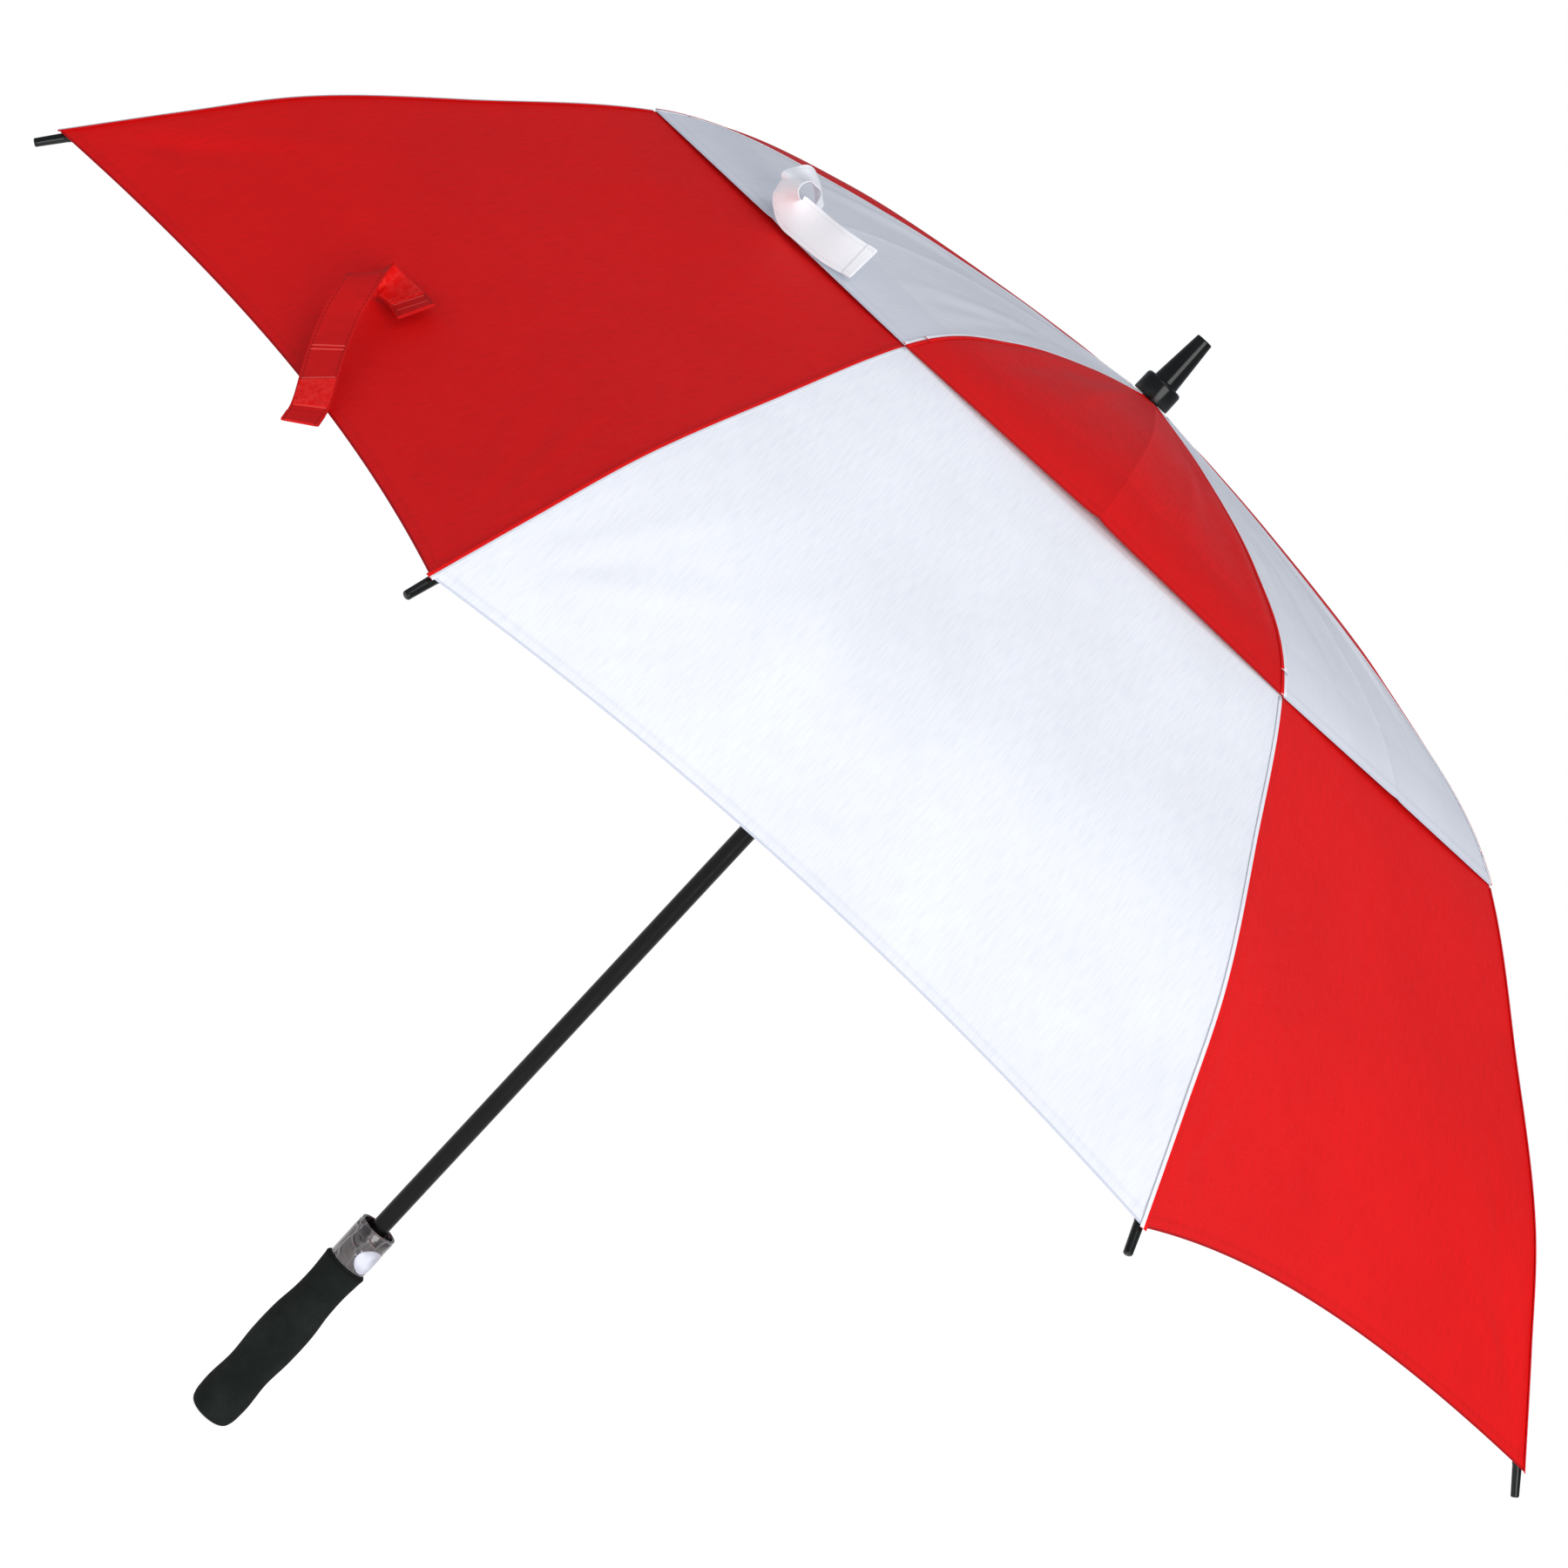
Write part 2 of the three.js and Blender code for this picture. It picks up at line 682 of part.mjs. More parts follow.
function piece(parent, name, geometry, look) {
  const mesh = new THREE.Mesh(geometry, look);
  mesh.name = name;
  parent.add(mesh);
  return mesh;
}

function turned(angle) {
  const group = new THREE.Group();
  group.rotation.z = angle;
  umbrella.add(group);
  return group;
}

piece(umbrella, 'shaft', shaftGeometry(), blackFibreglass());
piece(umbrella, 'ferrule', ferruleGeometry(), blackPlastic());
piece(umbrella, 'crown', crownGeometry(), blackPlastic());
piece(umbrella, 'crown_wire', hubWireGeometry(crownPivot), steel());
piece(umbrella, 'runner', runnerGeometry(), blackPlastic());
piece(umbrella, 'runner_wire', hubWireGeometry(runnerPivot), steel());
piece(umbrella, 'grip_foam', gripGeometry(), blackFoam());
piece(umbrella, 'handle_body', handleBodyGeometry(), greyPlastic());
piece(umbrella, 'push_button', buttonGeometry(), lilacPlastic());
piece(umbrella, 'button_spring', buttonSpringGeometry(), steel());

const innerRib = innerRibGeometry();
const outerRib = outerRibGeometry();
const ribTip = tipGeometry();
const stretcher = stretcherGeometry();
const lowerGore = lowerGoreGeometry();
const upperGore = upperGoreGeometry();

for (let k = 0; k < RIB_COUNT; k += 1) {
  const number = k + 1;
  const spoke = turned(k * RIB_PITCH);
  piece(spoke, `rib_inner_${number}`, innerRib, blackFibreglass());
  piece(spoke, `rib_outer_${number}`, outerRib, blackFibreglass());
  placeTip(piece(spoke, `rib_tip_${number}`, ribTip, blackPlastic()));
  piece(spoke, `stretcher_${number}`, stretcher, blackFibreglass());

  const between = turned((k + 0.5) * RIB_PITCH);
  const redBelow = k % 2 === 0;
  piece(between, `lower_gore_${number}`, lowerGore, redBelow ? redFabric() : whiteFabric());
  piece(between, `upper_gore_${number}`, upperGore, redBelow ? whiteFabric() : redFabric());
}

const strapped = turned(RIB_PITCH / 2);
piece(strapped, 'strap_red', redStrapGeometry(), redWebbing());
piece(strapped, 'strap_white', whiteStrapGeometry(), whiteWebbing());

export default umbrella;
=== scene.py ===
import json
import math
import random

import bpy
import numpy as np
from mathutils import Matrix, Vector


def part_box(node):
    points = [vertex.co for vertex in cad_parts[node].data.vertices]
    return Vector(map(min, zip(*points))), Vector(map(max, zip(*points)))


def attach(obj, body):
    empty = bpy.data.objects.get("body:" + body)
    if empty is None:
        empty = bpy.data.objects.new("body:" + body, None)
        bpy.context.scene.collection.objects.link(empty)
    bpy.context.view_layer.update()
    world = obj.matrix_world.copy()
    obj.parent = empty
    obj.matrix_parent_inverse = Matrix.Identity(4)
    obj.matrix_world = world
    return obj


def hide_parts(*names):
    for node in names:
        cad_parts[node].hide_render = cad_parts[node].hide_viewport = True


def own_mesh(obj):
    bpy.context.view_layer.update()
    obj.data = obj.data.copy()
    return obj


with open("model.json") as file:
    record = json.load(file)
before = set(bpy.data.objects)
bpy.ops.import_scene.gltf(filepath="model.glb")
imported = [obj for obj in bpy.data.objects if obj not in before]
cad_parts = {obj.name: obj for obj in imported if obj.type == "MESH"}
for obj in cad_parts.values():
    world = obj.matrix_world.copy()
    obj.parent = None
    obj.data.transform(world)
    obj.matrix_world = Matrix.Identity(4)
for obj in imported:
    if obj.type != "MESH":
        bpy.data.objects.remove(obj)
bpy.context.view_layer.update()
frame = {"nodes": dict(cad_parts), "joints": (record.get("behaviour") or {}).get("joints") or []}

# ---- Driving dimensions, in metres, as in the part's own frame ----

MM = 0.001
RIBS = 8
PITCH = 2 * math.pi / RIBS
# The open rib's centreline as (radius, height), from the crown out to the rib's end.
RIB_STATIONS = [
    (0.011, 0.936), (0.127, 0.9226), (0.259, 0.8998), (0.366, 0.8672), (0.477, 0.785),
    (0.5515, 0.7225), (0.602, 0.6653), (0.6488, 0.6092), (0.6552, 0.6015),
]
JOINT_STATION = 3  # the stretcher's clip
HEM_STATION = 7  # the canopy's corner
RIB_RADIUS = 1.8 * MM
LOWER_LIFT = 3.1 * MM  # from the rib's line to the lower cloth
UPPER_LIFT = 4.3 * MM  # and to the upper cloth
TIP_LIFT = 1.6 * MM  # more lift at the corner, over the tip
UPPER_RIM = 21 * MM  # the upper cloth past the clip
LOWER_OVERLAP = 32 * MM  # the lower cloth inside the clip
LAYERS_OVERLAP = UPPER_RIM + LOWER_OVERLAP
HEM_SAG = 25 * MM  # how far the hem hangs in between two ribs
HEM_SCALLOP = 12 * MM  # how much shorter it is there
RIM_RISE = 3 * MM  # how far the vent's rim bows out there
GORE_GAP = 0.15 * MM  # between a gore's edge and its rib's plane
CLOTH = 0.4 * MM
TIP_PAST_CORNER = 16 * MM  # the tip's end, past the canopy's corner
TIP_LENGTH = 23 * MM
RIB_IN_TIP = 8 * MM

FLEX_RANGE = next(j["range_deg"] for j in frame["joints"] if j["name"] == "rib_1_flex")
FLEX_CLOSED = math.radians(FLEX_RANGE[0])  # the bend at the clip when closed


# ---- Materials ----


class Shader:
    """A material with one Principled shader, and a few nodes added by name."""

    def __init__(self, name, **sockets):
        self.material = bpy.data.materials.new(name)
        self.material.use_nodes = True
        self.tree = self.material.node_tree
        self.principled = self.tree.nodes["Principled BSDF"]
        for socket, value in sockets.items():
            self.principled.inputs[socket.replace("_", " ")].default_value = value

    def node(self, kind, inputs=None, **settings):
        node = self.tree.nodes.new("ShaderNode" + kind)
        for key, value in settings.items():
            setattr(node, key, value)
        for key, value in (inputs or {}).items():
            if isinstance(value, bpy.types.NodeSocket):
                self.tree.links.new(value, node.inputs[key])
            else:
                node.inputs[key].default_value = value
        return node

    def math(self, operation, a, b=0.0):
        return self.node("Math", {0: a, 1: b}, operation=operation).outputs[0]

    def ramp(self, value, low, high, start=0.0, end=1.0):
        """A smooth step from start to end, as the value goes from low to high."""
        inputs = {"Value": value, "From Min": low, "From Max": high,
                  "To Min": start, "To Max": end}
        return self.node("MapRange", inputs, interpolation_type="SMOOTHSTEP").outputs[0]

    def waves(self, value, length):
        """A sine wave of the given length along a distance."""
        return self.math("SINE", self.math("MULTIPLY", value, 2 * math.pi / length))

    def line(self, value, centre, reach):
        """1 where the value is within reach of the centre, and 0 elsewhere."""
        inputs = {0: value, 1: centre, 2: reach}
        return self.node("Math", inputs, operation="COMPARE").outputs[0]

    def mix(self, factor, a, b):
        inputs = {"Factor": factor, 6: a, 7: b}
        return self.node("Mix", inputs, data_type="RGBA").outputs[2]

    def noise(self, vector, scale, detail=2.0, roughness=0.5):
        inputs = {"Vector": vector, "Scale": scale, "Detail": detail, "Roughness": roughness}
        return self.node("TexNoise", inputs).outputs[0]

    def place(self):
        return self.node("TexCoord").outputs["Object"]

    def uv(self, name):
        split = self.node("SeparateXYZ", {0: self.node("UVMap", uv_map=name).outputs[0]})
        return split.outputs[0], split.outputs[1]

    def stretched(self, vector, scale):
        return self.node("Mapping", {"Vector": vector, "Scale": scale}).outputs[0]

    def colour(self, value):
        self.tree.links.new(value, self.principled.inputs["Base Color"])

    def roughness(self, value):
        self.tree.links.new(value, self.principled.inputs["Roughness"])

    def bump(self, height, distance, strength, under=None):
        inputs = {"Height": height, "Distance": distance, "Strength": strength}
        if under is not None:
            inputs["Normal"] = under
        normal = self.node("Bump", inputs).outputs[0]
        self.tree.links.new(normal, self.principled.inputs["Normal"])
        return normal


def shade(colour, factor):
    """A lighter or darker version of a colour."""
    return (*(min(1.0, c * factor) for c in colour[:3]), 1.0)


RED = (0.745, 0.006, 0.006, 1.0)
DARK_RED = (0.30, 0.004, 0.006, 1)
WHITE = (0.80, 0.817, 0.86, 1.0)
DULL_WHITE = (0.50, 0.53, 0.62, 1)


def fabric(name, colour, dark, under=None):
    """Plain woven cloth with a light sheen: the weave follows the uv map "cloth",
    in metres, and the uv map "edges" holds the distances to the seam and the hem.
    A colour under, if given, is painted shade in a band near the vent's rim."""
    s = Shader(name, Roughness=0.56, Specular_IOR_Level=0.12)
    across, along = s.uv("cloth")
    seam, hem = s.uv("edges")
    weave = s.math("MULTIPLY", s.waves(across, 0.55 * MM), s.waves(along, 0.55 * MM))
    cloth = s.node("UVMap", uv_map="cloth").outputs[0]
    slubs = s.noise(s.stretched(cloth, (900, 60, 1)), 1.0, 3.0)
    cross_slubs = s.noise(s.stretched(cloth, (60, 900, 1)), 1.0, 3.0)
    mottle = s.noise(s.place(), 9.0, 4.0, 0.6)
    # A seam allowance lies under the cloth along each rib, and a turned hem along the edge.
    allowance = s.ramp(seam, 7.5 * MM, 8.5 * MM, 1.0, 0.0)
    turned = s.ramp(hem, 7.5 * MM, 8.3 * MM, 1.0, 0.0)
    doubled = s.math("MAXIMUM", allowance, turned)
    # The colour is darker within 2 mm of the cut edge.
    edge = s.ramp(hem, 1.0 * MM, 2.0 * MM, 1.0, 0.0)
    dashes = s.math("GREATER_THAN", s.waves(across, 2.6 * MM), -0.4)
    stitch = s.math("MULTIPLY", s.line(hem, 6.5 * MM, 0.35 * MM), dashes)
    base = s.mix(s.ramp(mottle, 0.3, 0.7), shade(colour, 0.965), shade(colour, 1.03))
    base = s.mix(s.math("MULTIPLY", s.ramp(slubs, 0.35, 0.75), 0.18), base, dark)
    base = s.mix(s.math("MULTIPLY", doubled, 0.05), base, dark)
    base = s.mix(s.math("MULTIPLY", edge, 0.8), base, dark)
    base = s.mix(s.math("MULTIPLY", stitch, 0.16), base, dark)
    if under:
        # Painted shade: near the vent's rim the colour is drawn towards the layer beneath, as if
        # that layer were seen through the thin cloth.
        wander = s.math("MULTIPLY", s.math("SUBTRACT", mottle, 0.5), 12 * MM)
        depth = s.math("ADD", hem, wander)
        painted_show_through = s.ramp(depth, LAYERS_OVERLAP - 2 * MM, LAYERS_OVERLAP, 1.0, 0.0)
        base = s.mix(s.math("MULTIPLY", painted_show_through, 0.3), base, under)
    s.colour(base)
    s.roughness(s.ramp(cross_slubs, 0.2, 0.8, 0.5, 0.66))
    fine = s.math("ADD", s.math("MULTIPLY", weave, 0.5), s.math("ADD", slubs, cross_slubs))
    first = s.bump(fine, 0.05 * MM, 0.35)
    steps = s.math("SUBTRACT", s.math("MULTIPLY", doubled, 0.6), stitch)
    s.bump(steps, 0.2 * MM, 0.35, under=first)
    return s.material


def webbing(name, colour, dark):
    """Woven strap cloth, ribbed along its length, stitched near both edges."""
    s = Shader(name, Roughness=0.62, Specular_IOR_Level=0.12)
    across, along = s.uv("cloth")
    weave = s.math("MULTIPLY", s.waves(across, 0.9 * MM), s.waves(along, 0.7 * MM))
    edge = s.line(s.math("ABSOLUTE", across), 9.6 * MM, 0.45 * MM)
    dashes = s.math("GREATER_THAN", s.waves(along, 2.8 * MM), -0.3)
    stitch = s.math("MULTIPLY", edge, dashes)
    worn = s.ramp(s.noise(s.place(), 120.0, 3.0), 0.4, 0.75)
    base = s.mix(s.math("MULTIPLY", worn, 0.12), colour, dark)
    base = s.mix(s.math("MULTIPLY", stitch, 0.55), base, dark)
    s.colour(base)
    s.roughness(s.ramp(weave, -1.0, 1.0, 0.55, 0.72))
    first = s.bump(weave, 0.06 * MM, 0.6)
    s.bump(s.math("SUBTRACT", 0.5, stitch), 0.3 * MM, 0.8, under=first)
    return s.material


def fuzzy(name, colour, bright):
    """The hooks or loops of a touch fastener: short, rough and glossy."""
    s = Shader(name, Roughness=0.45, Specular_IOR_Level=0.1)
    rough = s.noise(s.place(), 1500.0, 4.0, 0.7)
    patches = s.noise(s.place(), 260.0, 3.0, 0.6)
    # Painted highlight: specks within patches are brightened in the colour, as glints on the
    # fibres.
    lit = s.math("MULTIPLY", s.ramp(rough, 0.35, 0.7), s.ramp(patches, 0.3, 0.7))
    s.colour(s.mix(lit, colour, bright))
    s.roughness(s.ramp(rough, 0.3, 0.8, 0.35, 0.8))
    s.bump(s.math("ADD", rough, patches), 0.9 * MM, 0.9)
    return s.material


def gloss_plastic(name, colour, roughness=0.16):
    """A moulding whose gloss is slightly uneven."""
    s = Shader(name, Roughness=roughness, Specular_IOR_Level=0.27)
    speck = s.noise(s.place(), 700.0, 3.0)
    flow = s.noise(s.place(), 60.0, 2.0)
    s.colour(s.mix(s.ramp(flow, 0.35, 0.7), colour, shade(colour, 1.7)))
    s.roughness(s.ramp(speck, 0.2, 0.8, roughness, roughness + 0.03))
    s.bump(s.math("ADD", speck, flow), 0.1 * MM, 0.01)
    return s.material


def wound_fibreglass(name):
    """Black lacquer over a wound tube, whose turns ripple the highlight."""
    s = Shader(name, Roughness=0.2, Specular_IOR_Level=0.15)
    place = s.place()
    turns = s.noise(s.stretched(place, (45, 45, 75)), 1.0, 2.0)
    streaks = s.noise(s.stretched(place, (500, 500, 25)), 1.0, 3.0)
    s.colour(s.mix(streaks, (0.003, 0.0035, 0.0035, 1), (0.009, 0.0095, 0.0095, 1)))
    s.roughness(s.ramp(streaks, 0.3, 0.8, 0.17, 0.27))
    ripple = s.math("ADD", turns, s.math("MULTIPLY", streaks, 0.25))
    s.bump(ripple, 0.7 * MM, 0.6)
    return s.material


def foam(name):
    """Closed-cell foam: a matte skin with fine pores, paler where it's rubbed."""
    s = Shader(name, Roughness=0.9, Specular_IOR_Level=0.1)
    place = s.place()
    cells = s.node("TexVoronoi", {"Vector": place, "Scale": 1400.0}).outputs[0]
    skin = s.noise(place, 420.0, 4.0, 0.65)
    rubbed = s.noise(place, 35.0, 3.0)
    fresh, pale = (0.009, 0.0125, 0.011, 1), (0.016, 0.021, 0.0185, 1)
    s.colour(s.mix(s.ramp(rubbed, 0.35, 0.75), fresh, pale))
    s.roughness(s.ramp(skin, 0.3, 0.7, 0.8, 1.0))
    first = s.bump(cells, 0.12 * MM, 0.5)
    s.bump(skin, 0.3 * MM, 0.45, under=first)
    return s.material


def filmed_plastic(name):
    """Smoky moulding in a shrunk clear film: its creases are bumped and carry a painted highlight
    in the colour.
    """
    s = Shader(name, Roughness=0.3, Specular_IOR_Level=0.5, Coat_Weight=1.0,
               Coat_Roughness=0.05)
    place = s.place()
    swirl = s.node("TexNoise", {"Vector": place, "Scale": 60.0}).outputs[1]
    push = s.node("VectorMath", {0: swirl, 3: 0.012}, operation="SCALE").outputs[0]
    warped = s.node("VectorMath", {0: place, 1: push}, operation="ADD").outputs[0]
    creases = s.node("TexVoronoi", {"Vector": s.stretched(warped, (1, 1, 0.55)), "Scale": 85.0},
                     feature="DISTANCE_TO_EDGE").outputs[0]
    ridge = s.ramp(creases, 0.0, 0.09, 1.0, 0.0)
    clouds = s.noise(warped, 75.0, 3.0, 0.6)
    base = s.mix(s.ramp(clouds, 0.3, 0.72), (0.014, 0.0125, 0.0125, 1), (0.078, 0.068, 0.067, 1))
    # Painted highlight: the film's creases are lightened in the base colour.
    s.colour(s.mix(s.math("MULTIPLY", ridge, 0.1), base, (0.55, 0.54, 0.56, 1)))
    s.roughness(s.ramp(clouds, 0.2, 0.8, 0.18, 0.42))
    folds = s.math("ADD", ridge, s.math("MULTIPLY", clouds, 1.2))
    first = s.bump(folds, 0.9 * MM, 0.8)
    s.tree.links.new(first, s.principled.inputs["Coat Normal"])
    return s.material


def drawn_steel(name):
    """Bright wire with fine drawing marks."""
    s = Shader(name, Metallic=1.0, Roughness=0.3)
    lines = s.noise(s.place(), 900.0, 3.0)
    s.colour(s.mix(lines, (0.4, 0.41, 0.43, 1), (0.6, 0.61, 0.63, 1)))
    s.roughness(s.ramp(lines, 0.3, 0.7, 0.22, 0.42))
    s.bump(lines, 0.05 * MM, 0.3)
    return s.material


LOOKS = {
    "red_fabric": (fabric, RED, DARK_RED),
    "white_fabric": (fabric, WHITE, DULL_WHITE),
    # The fourth colour of each upper fabric is painted shade, in a band near the vent's rim.
    "red_upper": (fabric, RED, DARK_RED, (0.55, 0.004, 0.005, 1)),
    "white_upper": (fabric, WHITE, DULL_WHITE, (0.66, 0.70, 0.78, 1)),
    "red_webbing": (webbing, (0.60, 0.007, 0.007, 1), (0.2, 0.004, 0.004, 1)),
    "white_webbing": (webbing, (0.94, 0.95, 0.975, 1), (0.82, 0.84, 0.89, 1)),
    "red_fuzz": (fuzzy, (0.86, 0.004, 0.004, 1), (1.0, 0.06, 0.05, 1)),
    "black_plastic": (gloss_plastic, (0.0035, 0.0045, 0.004, 1)),
    "black_fibreglass": (wound_fibreglass,),
    "foam": (foam,),
    "grey_plastic": (filmed_plastic,),
    "lilac_plastic": (gloss_plastic, (0.43, 0.46, 0.525, 1), 0.3),
    "steel_wire": (drawn_steel,),
    "pale_thread": (webbing, (0.82, 0.07, 0.06, 1), (0.6, 0.03, 0.03, 1)),
}
LOOK = {name: make(name, *values) for name, (make, *values) in LOOKS.items()}


# ---- Mesh helpers ----


def piece(name, vertices, faces, looks, body, nodes=(), uvs=None, slots=None):
    """A new piece of the given points and faces, which rides on a CAD body."""
    mesh = bpy.data.meshes.new(name)
    mesh.from_pydata([tuple(map(float, v)) for v in vertices], [], faces)
    looks = [looks] if isinstance(looks, str) else looks
    for look in looks:
        mesh.materials.append(LOOK[look])
    corners = np.empty(len(mesh.loops), np.int32)
    mesh.loops.foreach_get("vertex_index", corners)
    for layer, values in (uvs or {}).items():
        uv = mesh.uv_layers.new(name=layer)
        uv.data.foreach_set("uv", np.asarray(values, np.float32)[corners].ravel())
    if slots is not None:
        mesh.polygons.foreach_set("material_index", np.asarray(slots, np.int32))
    mesh.polygons.foreach_set("use_smooth", np.ones(len(mesh.polygons), bool))
    mesh.update()
    obj = bpy.data.objects.new(name, mesh)
    bpy.context.scene.collection.objects.link(obj)
    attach(obj, body)
    if nodes:
        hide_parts(*nodes)
    return obj


def sharp(obj, degrees=35):
    """Smooth shading, apart from edges that turn by more than the angle."""
    obj.data.set_sharp_from_angle(angle=math.radians(degrees))
    return obj


def lathe(profile, segments=64):
    """Points and faces of a solid of revolution about Z. The profile runs
    anticlockwise as [radius, height]; a radius of 0 closes it."""
    points, rings = [], []
    for radius, height in profile:
        if radius == 0:
            rings.append([len(points)] * segments)
            points.append((0, 0, height))
            continue
        rings.append(list(range(len(points), len(points) + segments)))
        for i in range(segments):
            a = 2 * math.pi * i / segments
            points.append((radius * math.cos(a), radius * math.sin(a), height))
    faces = []
    for low, high in zip(rings, rings[1:]):
        for i in range(segments):
            j = (i + 1) % segments
            corners = [low[i], low[j], high[j], high[i]]
            faces.append(list(dict.fromkeys(corners)))
    return points, faces


def arc(centre, radius, start, end, steps):
    """Points of an arc in a profile, between two angles in degrees."""
    angles = [math.radians(start + (end - start) * i / steps) for i in range(steps + 1)]
    return [(centre[0] + radius * math.cos(a), centre[1] + radius * math.sin(a)) for a in angles]


def grid_faces(rows, columns, wrap=False):
    """Faces of a grid of points, listed row by row. A wrapped grid closes on itself."""
    faces = []
    for i in range(rows - 1):
        for j in range(columns if wrap else columns - 1):
            k = (j + 1) % columns
            faces.append([i * columns + j, (i + 1) * columns + j,
                          (i + 1) * columns + k, i * columns + k])
    return faces


def shell(upper, lower):
    """Points and faces of the closed shell between two grids of points, [row, column, xyz]."""
    rows, columns = upper.shape[:2]
    n = rows * columns
    points = np.concatenate([upper.reshape(-1, 3), lower.reshape(-1, 3)])
    faces = grid_faces(rows, columns)
    faces += [[n + i for i in reversed(face)] for face in faces]
    rim = list(range(columns))
    rim += [i * columns + columns - 1 for i in range(1, rows)]
    rim += [(rows - 1) * columns + j for j in range(columns - 2, -1, -1)]
    rim += [i * columns for i in range(rows - 2, 0, -1)]
    for a, b in zip(rim, rim[1:] + rim[:1]):
        faces.append([a, b, n + b, n + a])
    return points, faces


def grid_normals(grid):
    """Unit normals of a grid of points, out of the side that shows rows down, columns across."""
    along = np.gradient(grid, axis=0)
    across = np.gradient(grid, axis=1)
    normals = np.cross(along, across)
    return normals / np.linalg.norm(normals, axis=2, keepdims=True)


def swept(points, sides, ups, profile):
    """Points and faces of a closed bar: at each point the profile's (side, up) pairs are
    laid out along that point's side and up directions."""
    rings = [[p + s * a + u * b for a, b in profile] for p, s, u in zip(points, sides, ups)]
    count = len(profile)
    vertices = [v for ring in rings for v in ring]
    faces = grid_faces(len(rings), count, wrap=True)
    faces.append(list(range(count)))
    faces.append([(len(rings) - 1) * count + i for i in reversed(range(count))])
    return vertices, faces


def turn(points, angle):
    """Points turned about the shaft's axis."""
    c, s = math.cos(angle), math.sin(angle)
    return np.asarray(points, float) @ np.array([[c, s, 0], [-s, c, 0], [0, 0, 1]])


def smoothstep(x):
    x = np.clip(x, 0, 1)
    return x * x * (3 - 2 * x)


# ---- The rib's line and the canopy's surface ----


def rib_line(steps=200):
    """The open rib's centreline, a centripetal Catmull-Rom curve through its stations,
    as distances along it, points and the distance of each station."""
    stations = [np.array(s) for s in RIB_STATIONS]
    padded = [2 * stations[0] - stations[1], *stations, 2 * stations[-1] - stations[-2]]
    t = np.linspace(0, 1, steps, endpoint=False)[:, None]
    points = []
    for a, b, c, d in zip(padded, padded[1:], padded[2:], padded[3:]):
        g0, g1, g2 = (math.sqrt(np.linalg.norm(q - p)) for p, q in ((a, b), (b, c), (c, d)))
        start = ((b - a) / g0 - (c - a) / (g0 + g1) + (c - b) / g1) * g1
        end = ((c - b) / g1 - (d - b) / (g1 + g2) + (d - c) / g2) * g1
        square = -3 * b + 3 * c - 2 * start - end
        cube = 2 * b - 2 * c + start + end
        points.append(b + start * t + square * t**2 + cube * t**3)
    points = np.concatenate([*points, [stations[-1]]])
    lengths = np.concatenate([[0], np.cumsum(np.linalg.norm(np.diff(points, axis=0), axis=1))])
    return lengths, points, lengths[::steps]


RIB_DISTANCES, RIB_POINTS, STATION_DISTANCES = rib_line()
JOINT = STATION_DISTANCES[JOINT_STATION]
HEM = STATION_DISTANCES[HEM_STATION]
RIM = JOINT + UPPER_RIM
LOWER_START = JOINT - LOWER_OVERLAP


def rib_frame(distance):
    """Radius and height of the rib's line, its direction and its outward normal."""
    d = np.asarray(distance, float)
    step = 0.5 * MM

    def at(x):
        inside = np.clip(x, 0, RIB_DISTANCES[-1])
        return np.stack([np.interp(inside, RIB_DISTANCES, RIB_POINTS[:, i]) for i in (0, 1)], -1)

    inside = np.clip(d, step, RIB_DISTANCES[-1] - step)
    tangent = at(inside + step) - at(inside - step)
    tangent /= np.linalg.norm(tangent, axis=-1, keepdims=True)
    point = at(d) + tangent * (d - np.clip(d, 0, RIB_DISTANCES[-1]))[..., None]
    normal = np.stack([-tangent[..., 1], tangent[..., 0]], -1)
    return point, tangent, normal


def gore_point(distance, across, lift, sag):
    """Points of a gore about the XZ plane, which is the plane half-way between its ribs."""
    point, _, normal = rib_frame(distance)
    edge = point + normal * np.asarray(lift)[..., None]
    x = edge[..., 0] * math.cos(PITCH / 2) - sag * (1 - across**2)
    y = (edge[..., 0] * math.sin(PITCH / 2) - GORE_GAP) * across
    return np.stack([x, y, edge[..., 1]], -1)


def lower_point(distance, across, lift=LOWER_LIFT):
    share = np.clip((distance - RIM) / (HEM - RIM), 0, None)
    cut = HEM_SCALLOP * share * (1 - across**2)
    return gore_point(distance - cut, across, lift + TIP_LIFT * share**4, HEM_SAG * share)


def upper_point(distance, across, lift=UPPER_LIFT):
    share = np.clip(distance / RIM, 0, None)
    return gore_point(distance, across, lift, -RIM_RISE * share**3)


# ---- Canopy ----

COLUMNS = 36  # across half a gore
ROW = 5 * MM
HEM_ROWS = [0.0, 0.4, 1.0, 2.2, 4.0, 6.0, 7.4, 8.2, 9.2, 11.0]  # mm from a cut edge
UPPER_TILT = math.radians(29)  # of the closed canopy's pleats, out of the tangent
LOWER_TILT = math.radians(27)
FOLDED_SHARE = 0.03  # what a folded half gore keeps of its depth
LEAST_SHARE = 0.02
CREASE_SLOPE = 0.13  # of the two planes of the creased upper gore
CREASED_GORE = 2
TIP_ACROSS = 0.24  # from the middle of a gore to where the tip's folds start


def rows_between(start, end, hemmed):
    """Distances along a gore, closer together at a hemmed outer edge."""
    edge = [end - r * MM for r in HEM_ROWS] if hemmed else [end]
    last = min(edge)
    count = max(2, round((last - start) / ROW))
    return np.array([*np.linspace(start, last, count + 1), *sorted(edge)[1:]])


